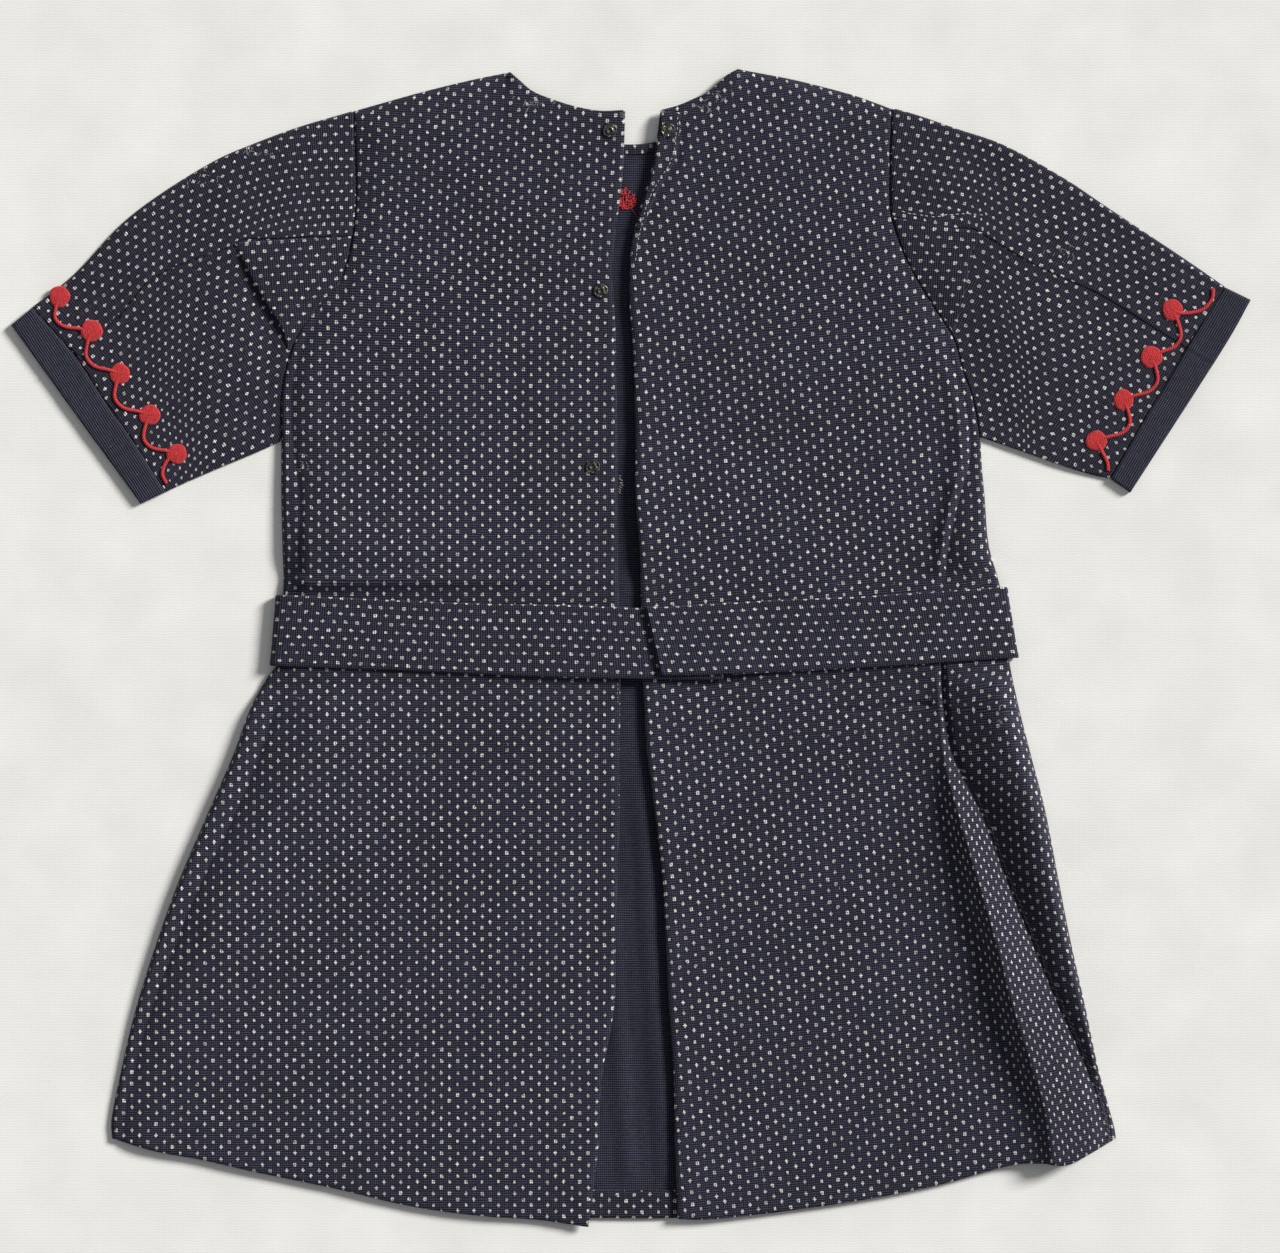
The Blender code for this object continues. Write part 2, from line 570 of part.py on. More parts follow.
def make_sleeve(side, table, shoulder_tip, upper, lower, cuff_inner, cuff_outer):
    hand = 1.0 if side == "right" else -1.0
    head = [p + Vector((hand * GAP, 0.0)) for p in armhole(table, shoulder_tip)]
    cuff_line = curve(cuff_inner, YOKE_ROWS)
    cuff_line[0] = Vector(upper[-1])
    top_edge = curve(upper, SLEEVE_STATIONS)
    low_edge = curve(lower, SLEEVE_STATIONS)
    head[0], head[-1] = top_edge[0], low_edge[0]
    cuff_line[-1] = low_edge[-1]
    stations = coons(head, cuff_line, top_edge, low_edge)
    outer_rings, inner_rings = [], []
    for j, line in enumerate(stations):
        v = j / SLEEVE_STATIONS
        heights = [sleeve_height(i / YOKE_ROWS, v) for i in range(len(line))]
        outer, inner = flat_ring(line, heights, CLOTH)
        outer_rings.append(outer)
        inner_rings.append(inner)
    tube(f"sleeve_{side}", outer_rings, inner_rings, "cloth")

    outer_line = curve(cuff_outer, YOKE_ROWS)
    away = (outer_line[6] - cuff_line[6]).normalized()
    start = [p + away * GAP for p in cuff_line]
    outer_rings, inner_rings = [], []
    for j in range(3):
        line = [a.lerp(b, j / 2) for a, b in zip(start, outer_line)]
        outer, inner = flat_ring(line, [CUFF_TOP] * len(line), CUFF_WALL)
        outer_rings.append(outer)
        inner_rings.append(inner)
    tube(f"cuff_{side}", outer_rings, inner_rings, "cloth_reverse")
    return away


# ---- the belt --------------------------------------------------------------------------------------
def belt_level(x, lapped):
    """Height of the belt's underside across the back."""
    left, right = BELT_LEFT_UPPER[0][0], BELT_RIGHT_UPPER[-1][0]
    to_side = min(x - left, right - x)
    bump = BELT_CLOTH + GAP
    at_side = CLOTH + GAP + CLOTH + bump + GAP
    inside = BACK_REST + CLOTH + bump + GAP
    level = at_side + (inside - at_side) * smooth((to_side + 0.7 * SEAM_BAND) / SEAM_BAND)
    lap = (BELT_CLOTH + GAP) * (1 - smooth((x - 54.0) / 24.0)) if lapped else 0.0
    return level + lap


def make_belt():
    """One strip: left half over the back, round the side, under the front, round, right half."""
    half = 0.5 * BELT_CLOTH
    stations = []    # upper x, y, lower x, y, height of the middle, tilt of the face

    def stretch(upper, lower, lapped):
        for a, b in zip(curve(upper, BELT_STEPS), curve(lower, BELT_STEPS)):
            level = belt_level(0.5 * (a.x + b.x), lapped) + half
            stations.append((a.x, a.y, b.x, b.y, level, math.pi / 2))

    def turn(upper, lower, level, hand):
        radius = 0.5 * (level - half)
        for k in range(1, TURN_STEPS):
            angle = math.pi / 2 - math.pi * k / TURN_STEPS
            shift = hand * radius * math.cos(angle)
            height = half + radius * (1 + math.sin(angle))
            tilt = angle if hand > 0 else math.pi - angle
            stations.append((upper[0] + shift, upper[1], lower[0] + shift, lower[1], height, tilt))

    stretch(BELT_LEFT_UPPER[::-1], BELT_LEFT_LOWER[::-1], False)
    turn(BELT_LEFT_UPPER[0], BELT_LEFT_LOWER[0], stations[-1][4], -1)
    left, right = (BELT_LEFT_UPPER[0], BELT_LEFT_LOWER[0]), (BELT_RIGHT_UPPER[-1], BELT_RIGHT_LOWER[-1])
    for k in range(BELT_STEPS + 1):
        t = k / BELT_STEPS
        a, b = [Vector(left[n]).lerp(Vector(right[n]), t) for n in (0, 1)]
        stations.append((a.x, a.y, b.x, b.y, half, -math.pi / 2))
    right_half = len(stations)
    stretch(BELT_RIGHT_UPPER[::-1], BELT_RIGHT_LOWER[::-1], True)
    level = stations[right_half][4]
    back_stretch = stations[right_half:]
    del stations[right_half:]
    radius = 0.5 * (level - half)
    for k in range(1, TURN_STEPS):
        angle = -math.pi / 2 + math.pi * k / TURN_STEPS
        shift = radius * math.cos(angle)
        height = half + radius * (1 + math.sin(angle))
        stations.append((right[0][0] + shift, right[0][1], right[1][0] + shift, right[1][1], height,
                         angle))
    stations += back_stretch

    bm = bmesh.new()
    rings = []
    for ux, uy, lx, ly, height, tilt in stations:
        out = Vector((math.cos(tilt), 0.0, math.sin(tilt))) * half
        upper, lower = Vector((ux, uy, height)), Vector((lx, ly, height))
        rings.append([bm.verts.new(p) for p in (upper + out, lower + out, lower - out, upper - out)])
    for a, b in zip(rings, rings[1:]):
        for i in range(4):
            bm.faces.new((a[i], a[(i + 1) % 4], b[(i + 1) % 4], b[i]))
    bm.faces.new(rings[0])
    bm.faces.new(rings[-1])
    make_object("belt", bm, "cloth")


# ---- embroidery -------------------------------------------------------------------------------------
def ribbon(bm, points, width, base, height):
    """A raised strip with a rounded top along a curve."""
    section = [(-0.5, 0.0), (0.5, 0.0), (0.42, 0.7), (0.0, 1.0), (-0.42, 0.7)]
    rings = []
    for k, p in enumerate(points):
        before, after = points[max(k - 1, 0)], points[min(k + 1, len(points) - 1)]
        direction = (after - before).normalized()
        side = Vector((-direction.y, direction.x))
        ring = []
        for across, up in section:
            q = p + side * across * width
            ring.append(bm.verts.new((q.x, q.y, base + up * height)))
        rings.append(ring)
    count = len(section)
    for a, b in zip(rings, rings[1:]):
        for i in range(count):
            k = (i + 1) % count
            bm.faces.new((a[i], a[k], b[k], b[i]))
    bm.faces.new(rings[0])
    bm.faces.new(rings[-1])


def disc(bm, centre, radius, base, height, sides=16):
    """A stitched dot: a low round cushion."""
    profile = [(1.0, 0.0), (1.0, 0.45), (0.82, 0.85), (0.45, 1.0)]
    rings = []
    for share, up in profile:
        ring = []
        for k in range(sides):
            turn = 2 * math.pi * k / sides
            x = centre[0] + radius * share * math.cos(turn)
            y = centre[1] + radius * share * math.sin(turn)
            ring.append(bm.verts.new((x, y, base + up * height)))
        rings.append(ring)
    for a, b in zip(rings, rings[1:]):
        for i in range(sides):
            bm.faces.new((a[i], a[(i + 1) % sides], b[(i + 1) % sides], b[i]))
    bm.faces.new(rings[0])
    bm.faces.new(rings[-1])


def guide(name, bm):
    """A shape that is only added to another one."""
    obj = make_object(name, bm, "embroidery")
    obj.hide_render = True
    obj.display_type = "WIRE"
    return obj


def swing(start, end, out):
    """A stem's curve from one dot to the next, swinging out towards the cuff."""
    start, end = Vector(start), Vector(end)
    points = [start + (end - start).normalized() * 1.0]
    points += [start.lerp(end, share) + out * far for share, far in STEM_SWING]
    points.append(end)
    return curve(points, STEM_STEPS)


def make_embroidery(side, dots, out, loose_stems):
    base = SLEEVE_TOP + GAP
    bm = bmesh.new()
    disc(bm, dots[0], DOT_RADIUS, base, 1.2)
    chain = make_object(f"embroidery_{side}", bm, "embroidery")
    pieces = []
    for k, dot in enumerate(dots[1:]):
        bm = bmesh.new()
        disc(bm, dot, DOT_RADIUS, base, 1.2)
        pieces.append(guide(f"guide_dot_{side}_{k}", bm))
    routes = [swing(a, b, out) for a, b in zip(dots, dots[1:])]
    routes += [curve([dots[n]] + points, 5) for n, points in loose_stems]
    for k, route in enumerate(routes):
        bm = bmesh.new()
        ribbon(bm, route, STEM_WIDTH, base + 0.05, 0.8)
        pieces.append(guide(f"guide_stem_{side}_{k}", bm))
    for piece in pieces:
        join = chain.modifiers.new(piece.name, "BOOLEAN")
        join.operation = "UNION"
        join.solver = "EXACT"
        join.object = piece


# ---- press studs --------------------------------------------------------------------------------------
SOCKET = [(STUD_RADIUS, 0.0), (STUD_RADIUS, 0.6), (3.4, 1.0), (2.6, 0.8), (2.1, 1.5), (1.3, 1.5),
          (0.9, 0.8), (0.0, 0.8)]
BALL = [(STUD_RADIUS, 0.0), (STUD_RADIUS, 0.5), (3.3, 0.8), (1.5, 0.7), (1.1, 1.5), (0.5, 1.8),
        (0.0, 1.8)]


def highest(under, centre):
    """The highest point of a panel's upper face beneath a stud."""
    around = [(0.0, 0.0)] + [(math.cos(k * math.pi / 4), math.sin(k * math.pi / 4)) for k in range(8)]
    return CLOTH + max(under(centre[0] + STUD_RADIUS * a, centre[1] + STUD_RADIUS * b)
                       for a, b in around)


def lowest(under, centre):
    around = [(0.0, 0.0)] + [(math.cos(k * math.pi / 4), math.sin(k * math.pi / 4)) for k in range(8)]
    return min(under(centre[0] + STUD_RADIUS * a, centre[1] + STUD_RADIUS * b) for a, b in around)


def make_studs():
    for k, centre in enumerate(LEFT_STUDS, 1):
        turned(f"stud_socket_{k}", SOCKET, centre, highest(left_under, centre) + GAP, "stud")
    corner_top = highest(right_under, CORNER_STUD) + CLOTH + 2 * GAP
    turned("stud_ball_1", BALL, CORNER_STUD, corner_top + GAP, "stud")
    for k, centre in enumerate(HIDDEN_STUDS, 2):
        turned(f"stud_ball_{k}", BALL, centre, lowest(right_under, centre) - GAP, "stud", facing=-1)


def make_front_dot():
    """The reverse of one embroidered dot, on the inside of the front."""
    bm = bmesh.new()
    disc(bm, FRONT_DOT, DOT_RADIUS, CLOTH + GAP, 0.8)
    make_object("embroidery_front_reverse", bm, "embroidery")


# ---- the dress --------------------------------------------------------------------------------------------
for old in list(bpy.data.objects):
    bpy.data.objects.remove(old, do_unlink=True)

make_front()
make_front_turnings()
make_backs()
make_turned_corner()
left_out = make_sleeve("left", LEFT_BACK, LEFT_SHOULDER[0], LEFT_SLEEVE_UPPER, LEFT_SLEEVE_LOWER,
                       LEFT_CUFF_INNER, LEFT_CUFF_OUTER)
right_out = make_sleeve("right", RIGHT_BACK, RIGHT_SHOULDER[-1], RIGHT_SLEEVE_UPPER,
                        RIGHT_SLEEVE_LOWER, RIGHT_CUFF_INNER, RIGHT_CUFF_OUTER)
make_belt()
make_embroidery("left", LEFT_DOTS, left_out, [(4, LEFT_LAST_STEM)])
make_embroidery("right", RIGHT_DOTS, right_out, [(3, RIGHT_LAST_STEM), (0, RIGHT_FIRST_STEM)])
make_front_dot()
make_studs()
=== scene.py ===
# %% [markdown]
# # A child's belted smock dress, laid flat
#
# The real thing is a short-sleeved dress of navy cotton with small cream flecks woven into it.
# It lies on its front, so we look at its back: two panels that meet at an open centre, sleeves
# with turned-up cuffs, red embroidery along the cuffs, three press studs and a cloth belt.
# Each cell below makes one piece or one finish. Lengths in the tables are millimetres, as a
# dressmaker would measure them, and every mesh is made in metres.

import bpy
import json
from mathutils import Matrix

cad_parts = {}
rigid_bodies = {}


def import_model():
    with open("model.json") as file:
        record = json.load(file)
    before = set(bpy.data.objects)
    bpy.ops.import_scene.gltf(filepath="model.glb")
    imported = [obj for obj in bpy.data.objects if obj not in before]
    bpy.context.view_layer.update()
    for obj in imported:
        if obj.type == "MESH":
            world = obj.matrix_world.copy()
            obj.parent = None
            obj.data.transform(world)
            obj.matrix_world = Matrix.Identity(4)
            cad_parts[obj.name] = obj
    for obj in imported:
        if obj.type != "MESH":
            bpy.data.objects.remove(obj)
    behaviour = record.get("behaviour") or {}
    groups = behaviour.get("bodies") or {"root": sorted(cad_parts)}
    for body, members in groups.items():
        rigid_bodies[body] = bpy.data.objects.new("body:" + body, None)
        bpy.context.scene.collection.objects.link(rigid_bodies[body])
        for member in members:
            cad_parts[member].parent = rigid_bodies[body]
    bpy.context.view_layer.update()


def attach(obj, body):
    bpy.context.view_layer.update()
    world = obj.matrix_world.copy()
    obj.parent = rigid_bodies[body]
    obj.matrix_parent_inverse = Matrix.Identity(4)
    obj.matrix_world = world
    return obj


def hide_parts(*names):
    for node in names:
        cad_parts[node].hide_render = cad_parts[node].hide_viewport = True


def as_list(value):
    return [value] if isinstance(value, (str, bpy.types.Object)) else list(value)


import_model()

# %% Libraries and units
import json
import math
from functools import partial
from types import SimpleNamespace

import bpy
import numpy as np
from mathutils import Vector
from mathutils.bvhtree import BVHTree

MM = 0.001
scene = bpy.context.scene

# %% [markdown]
# ## Camera, floor and light
#
# The dress was photographed from straight above. A long lens far away keeps the view almost
# parallel, which a garment laid flat needs, because its cloth stands only a few millimetres high.
# The light is a wide soft one from the upper right, over a bright even surround.

# %% Camera
VIEW_WIDTH = 0.7197                 # metres of floor from the frame's left to its right
VIEW_CENTRE = (0.00506, 0.01209)    # the place on the floor in the middle of the frame
SENSOR = 36.0                       # width of the film, in millimetres
LENS = 250.0                        # a long lens, in millimetres

camera_data = bpy.data.cameras.new("camera")
camera_data.lens = LENS
camera_data.sensor_width = SENSOR
camera_data.sensor_fit = "HORIZONTAL"
camera_data.clip_end = 20.0
camera = bpy.data.objects.new("camera", camera_data)
camera.location = (*VIEW_CENTRE, VIEW_WIDTH * LENS / SENSOR)
scene.collection.objects.link(camera)
scene.camera = camera
print("the camera looks straight down from", round(camera.location.z, 2), "m")

# %% Light
SUN_FROM = Vector((0.74, 0.42, 0.48))   # towards the light
SUN_STRENGTH = 4.55
SUN_WIDTH = math.radians(17)            # as wide as a window, for soft-edged shadows
SURROUND_STRENGTH = 0.27

sun_data = bpy.data.lights.new("window_light", "SUN")
sun_data.energy = SUN_STRENGTH
sun_data.angle = SUN_WIDTH
sun_data.color = (1.0, 0.985, 0.955)
sun = bpy.data.objects.new("window_light", sun_data)
sun.rotation_euler = SUN_FROM.to_track_quat("Z", "Y").to_euler()
scene.collection.objects.link(sun)

world = bpy.data.worlds.new("soft_surround")
world.use_nodes = True
surround = world.node_tree.nodes["Background"]
surround.inputs["Color"].default_value = (0.95, 0.97, 1.0, 1.0)
surround.inputs["Strength"].default_value = SURROUND_STRENGTH
scene.world = world
scene.view_settings.view_transform = "Standard"     # shows the cloth's dye as it was measured
print("light from", [round(v, 2) for v in SUN_FROM.normalized()])

# %% [markdown]
# ## Helpers for nodes
#
# A material's pattern is arithmetic on the cloth's own coordinates. These helpers write one node
# for each step of that arithmetic, so that a pattern reads almost like a formula. Inside a group
# step() stands for calc() on that group's tree.


# %% Node helpers
def place(tree, kind, **settings):
    """A new node with its settings."""
    node = tree.nodes.new(kind)
    for key, value in settings.items():
        setattr(node, key, value)
    return node


def feed(tree, socket, value):
    """Link a socket, or set a number on it."""
    if isinstance(value, bpy.types.NodeSocket):
        tree.links.new(value, socket)
    else:
        socket.default_value = value


def calc(tree, operation, *values, clamp=False):
    """One step of arithmetic."""
    node = place(tree, "ShaderNodeMath", operation=operation, use_clamp=clamp)
    for socket, value in zip(node.inputs, values):
        feed(tree, socket, value)
    return node.outputs[0]


def remap(tree, value, low, high):
    """0 below low, 1 above high, with soft ends. With low above high it is the other way round."""
    node = place(tree, "ShaderNodeMapRange", interpolation_type="SMOOTHSTEP")
    for name, amount in (("Value", value), ("From Min", low), ("From Max", high)):
        feed(tree, node.inputs[name], amount)
    return node.outputs["Result"]


def noise(tree, vector, scale, detail=2.0):
    """Cloudy noise, about 0.5 in the middle."""
    node = place(tree, "ShaderNodeTexNoise")
    feed(tree, node.inputs["Vector"], vector)
    feed(tree, node.inputs["Scale"], scale)
    feed(tree, node.inputs["Detail"], detail)
    return node.outputs["Fac"]


def blend(tree, share, first, second):
    """Mix two colours."""
    node = place(tree, "ShaderNodeMix", data_type="RGBA", blend_type="MIX")
    feed(tree, node.inputs["Factor"], share)
    for name, value in (("A", first), ("B", second)):
        socket = [s for s in node.inputs if s.name == name and s.type == "RGBA"][0]
        feed(tree, socket, value)
    return [s for s in node.outputs if s.type == "RGBA"][0]


def new_group(name, inputs, outputs):
    """An empty shader node group. Sockets are (name, kind, default) and (name, kind)."""
    tree = bpy.data.node_groups.new(name, "ShaderNodeTree")
    for label, kind, default in inputs:
        socket = tree.interface.new_socket(label, in_out="INPUT", socket_type=kind)
        if default is not None:
            socket.default_value = default
    for label, kind in outputs:
        tree.interface.new_socket(label, in_out="OUTPUT", socket_type=kind)
    return tree, tree.nodes.new("NodeGroupInput").outputs, tree.nodes.new("NodeGroupOutput").inputs


def use_group(tree, group, **values):
    """Place a group in a material, with its own values."""
    node = place(tree, "ShaderNodeGroup", node_tree=group)
    for key, value in values.items():
        feed(tree, node.inputs[key.replace("_", " ")], value)
    return node.outputs


VALUE, VECTOR = "NodeSocketFloat", "NodeSocketVector"
print("node helpers are ready")

# %% [markdown]
# ## The woven ground
#
# The cotton has ribs that run across it 1.3 mm apart, crossed by finer threads. Where the threads
# cross there are tiny dark gaps. The pattern works in millimetres of cloth: each mesh carries a
# UV map named "grain" that says where every point lay on the flat cloth, so the ribs follow each
# piece and foreshorten on a fold as real threads do.

# %% Node group for the ribs and gaps
RIB = 1.30                      # from rib to rib
CROSS_THREAD = 1.145            # from one crossing thread to the next
GAP_FADE = (0.03, 0.34)         # where a gap begins, and where it is fully dark
# how each thing changes the light: times the first number, plus the second
RIB_LIGHT = (1.45, 0.50)
CROSS_LIGHT = (-0.42, 1.20)
YARN_LIGHT = (1.9, 0.05)
GAP_LIGHT = (-0.96, 1.04)

ribs, given, result = new_group(
    "woven_ribs", [("Cloth", VECTOR, None), ("Unevenness", VALUE, 0.5)],
    [("Light", VALUE), ("Gap", VALUE), ("Height", VALUE)])
step = partial(calc, ribs)
parts = place(ribs, "ShaderNodeSeparateXYZ")
feed(ribs, parts.inputs[0], given["Cloth"])
sway = step("SUBTRACT", noise(ribs, given["Cloth"], 0.22, 1.0), 0.5)
sway = step("MULTIPLY", sway, given["Unevenness"])
down = step("ADD", parts.outputs["Y"], sway)
across = step("SUBTRACT", parts.outputs["X"], sway)
rib_wave = step("COSINE", step("MULTIPLY", down, 2 * math.pi / RIB))
rib_top = step("MULTIPLY_ADD", rib_wave, 0.5, 0.5)
cross_wave = step("COSINE", step("MULTIPLY", across, 2 * math.pi / CROSS_THREAD))
cross_gap = step("MULTIPLY_ADD", cross_wave, 0.5, 0.5)
gap = step("MULTIPLY", step("SUBTRACT", 1.0, rib_top), cross_gap)
gap = remap(ribs, gap, *GAP_FADE)
yarn = noise(ribs, given["Cloth"], 1.3, 3.0)
slub = noise(ribs, given["Cloth"], 0.33, 2.0)
yarn = step("MULTIPLY_ADD", step("SUBTRACT", slub, 0.5), 0.45, yarn)
light = step("MULTIPLY_ADD", rib_top, *RIB_LIGHT)
for thing, change in ((cross_gap, CROSS_LIGHT), (yarn, YARN_LIGHT), (gap, GAP_LIGHT)):
    light = step("MULTIPLY", light, step("MULTIPLY_ADD", thing, *change))
feed(ribs, result["Light"], light)
feed(ribs, result["Gap"], gap)
feed(ribs, result["Height"], step("MULTIPLY_ADD", gap, -0.7, rib_top))
print("woven_ribs:", len(ribs.nodes), "nodes")

# %% [markdown]
# ## The woven flecks
#
# Every fourth thread and fifth rib a cream yarn comes to the face for a moment. Neighbouring
# columns are half a step apart. No two flecks are quite alike: some are crosses, some small
# squares with a dark eye, some lack a corner. A random number for each place in the lattice picks
# the shape.

# %% Node group for the flecks
FLECK_ACROSS = 4.58             # from one column of flecks to the next
FLECK_DOWN = 6.48               # from fleck to fleck down a column


def bar(tree, x, y, half_width, half_height):
    """1 inside a soft-edged rectangle."""
    wide = calc(tree, "DIVIDE", calc(tree, "ABSOLUTE", x), half_width)
    tall = calc(tree, "DIVIDE", calc(tree, "ABSOLUTE", y), half_height)
    return remap(tree, calc(tree, "MAXIMUM", wide, tall), 1.22, 0.78)


flecks, given, result = new_group(
    "woven_flecks", [("Cloth", VECTOR, None)],
    [("Fleck", VALUE), ("Painted rim shade", VALUE), ("Column", VALUE)])
step = partial(calc, flecks)
parts = place(flecks, "ShaderNodeSeparateXYZ")
feed(flecks, parts.inputs[0], given["Cloth"])

# the number of the column and of the row, and three random numbers for that place
column = step("DIVIDE", parts.outputs["X"], FLECK_ACROSS)
column_number = step("ROUND", column)
half_drop = step("MULTIPLY", step("FLOORED_MODULO", column_number, 2.0), 0.5)
row = step("ADD", step("DIVIDE", parts.outputs["Y"], FLECK_DOWN), half_drop)
row_number = step("ROUND", row)
address = place(flecks, "ShaderNodeCombineXYZ")
feed(flecks, address.inputs["X"], column_number)
feed(flecks, address.inputs["Y"], row_number)
dice = place(flecks, "ShaderNodeTexWhiteNoise", noise_dimensions="2D")
feed(flecks, dice.inputs["Vector"], address.outputs[0])
die = place(flecks, "ShaderNodeSeparateColor")
feed(flecks, die.inputs[0], dice.outputs["Color"])
shape, shift_x, shift_y = die.outputs

# where we are within the place, a little off true and with frayed lines
fray = step("SUBTRACT", noise(flecks, given["Cloth"], 1.1, 2.0), 0.5)
x = step("MULTIPLY", step("SUBTRACT", column, column_number), FLECK_ACROSS)
feed(flecks, result["Column"], remap(flecks, step("ABSOLUTE", x), 0.80, 0.30))
x = step("ADD", step("MULTIPLY_ADD", shift_x, 0.5, x), -0.25)
x = step("MULTIPLY_ADD", fray, 0.8, x)
y = step("MULTIPLY", step("SUBTRACT", row, row_number), FLECK_DOWN)
y = step("ADD", step("MULTIPLY_ADD", shift_y, 0.6, y), -0.3)
y = step("MULTIPLY_ADD", fray, -0.9, y)

# three shapes, a corner bitten off some of them, and how strongly the fleck shows
cross = step("MAXIMUM", bar(flecks, x, y, 0.90, 0.35), bar(flecks, x, y, 0.36, 1.12))
eye = step("MULTIPLY_ADD", bar(flecks, x, y, 0.34, 0.40), -0.9, 1.0)
square = step("MULTIPLY", bar(flecks, x, y, 0.85, 0.94), eye)
block = bar(flecks, x, y, 0.62, 0.78)
left_or_right = step("MULTIPLY_ADD", step("ROUND", shift_y), 1.6, -0.8)
up_or_down = step("MULTIPLY_ADD", step("ROUND", shift_x), 1.8, -0.9)
corner_x, corner_y = step("ADD", x, left_or_right), step("ADD", y, up_or_down)
bite = bar(flecks, corner_x, corner_y, 0.62, 0.72)
is_square, is_block = remap(flecks, shape, 0.40, 0.44), remap(flecks, shape, 0.74, 0.78)
fleck = step("MULTIPLY_ADD", step("SUBTRACT", square, cross), is_square, cross)
fleck = step("MULTIPLY_ADD", step("SUBTRACT", block, fleck), is_block, fleck)
bitten = step("MULTIPLY", bite, step("MULTIPLY_ADD", shift_x, 0.7, 0.3))
fleck = step("MULTIPLY", fleck, step("SUBTRACT", 1.0, bitten))
strength = step("MULTIPLY_ADD", shift_y, 0.50, 0.50)
fleck = step("MULTIPLY", fleck, strength, clamp=True)
feed(flecks, result["Fleck"], fleck)
# painted shade: a dark ring in the gap round each fleck
rim = step("SUBTRACT", bar(flecks, x, y, 1.6, 1.9), fleck, clamp=True)
feed(flecks, result["Painted rim shade"], rim)
print("woven_flecks:", len(flecks.nodes), "nodes")

# %% [markdown]
# ## Age
#
# A washed and worn cotton dress isn't one even navy. It is a little greyer in clouds, and
# hair-fine pale fibres lie on it. One group gives both, for each cloth to use in its own measure.

# %% Node group for fading and fibres
worn, given, result = new_group(
    "cotton_age", [("Cloth", VECTOR, None), ("Fading", VALUE, 0.5), ("Fibres", VALUE, 0.5)],
    [("Light", VALUE), ("Fibre", VALUE)])
step = partial(calc, worn)
cloud = noise(worn, given["Cloth"], 0.018, 3.0)
blotch = noise(worn, given["Cloth"], 0.11, 2.0)
fade = step("MULTIPLY_ADD", step("SUBTRACT", cloud, 0.5), 1.1, 0.0)
fade = step("MULTIPLY_ADD", step("SUBTRACT", blotch, 0.5), 0.5, fade)
feed(worn, result["Light"], step("MULTIPLY_ADD", fade, given["Fading"], 1.0))
drawn_out = place(worn, "ShaderNodeMapping", vector_type="POINT")
feed(worn, drawn_out.inputs["Vector"], given["Cloth"])
drawn_out.inputs["Rotation"].default_value = (0.0, 0.0, 0.5)
drawn_out.inputs["Scale"].default_value = (1.0, 0.16, 1.0)
strand = noise(worn, drawn_out.outputs[0], 1.3, 2.0)
strand = remap(worn, strand, 0.70, 0.78)
feed(worn, result["Fibre"], step("MULTIPLY", strand, given["Fibres"], clamp=True))
print("cotton_age:", len(worn.nodes), "nodes")

# %% [markdown]
# ## What every material needs
#
# A material starts from its own coordinates, tints a dye with light and shade, and lays the same
# pattern into the surface as a bump. These helpers do each of those steps once.


# %% Material helpers
def new_material(name):
    """A material, its node tree and its shader."""
    material = bpy.data.materials.new(name)
    material.use_nodes = True
    return material, material.node_tree, material.node_tree.nodes["Principled BSDF"]


def grain_in_millimetres(tree):
    """The UV map "grain", turned from metres into millimetres."""
    grain = place(tree, "ShaderNodeUVMap", uv_map="grain")
    scaled = place(tree, "ShaderNodeMapping")
    feed(tree, scaled.inputs["Vector"], grain.outputs[0])
    scaled.inputs["Scale"].default_value = (1000.0, 1000.0, 1000.0)
    return scaled.outputs[0]


def tinted(tree, colour, light):
    """A colour made lighter or darker."""
    node = place(tree, "ShaderNodeVectorMath", operation="SCALE")
    feed(tree, node.inputs[0], colour)
    feed(tree, node.inputs["Scale"], light)
    return node.outputs[0]


def add_relief(tree, shader, height, strength, distance):
    """A bump on the shader. distance is in metres."""
    bump = place(tree, "ShaderNodeBump")
    bump.inputs["Strength"].default_value = strength
    bump.inputs["Distance"].default_value = distance
    feed(tree, bump.inputs["Height"], height)
    feed(tree, shader.inputs["Normal"], bump.outputs[0])


print("material helpers are ready")

# %% [markdown]
# ## The four finishes of the cloth
#
# The same woven groups make all four: the dress's flecked face, the sleeves' face, which is dyed
# a little darker, the plain inside, and the cuffs, which are the inside turned outwards. The
# sleeves' darker face also covers the front's neck and hem turnings, as painted shade there. Only
# the dye and the amounts change. The bump comes from the same ribs and flecks as the colour, so
# light and pattern agree.

# %% Cloth materials
CREAM = (0.92, 0.90, 0.84, 1.0)
CREAM_IN_GAPS = (0.30, 0.29, 0.27, 1.0)
PAINTED_RIM_SHADE = (0.006, 0.006, 0.010, 1.0)      # painted shade in the gap round a fleck
FIBRE_GREY = (0.30, 0.29, 0.28, 1.0)
EVEN_LIGHT = 0.82                           # the ribs' light where nothing stands out


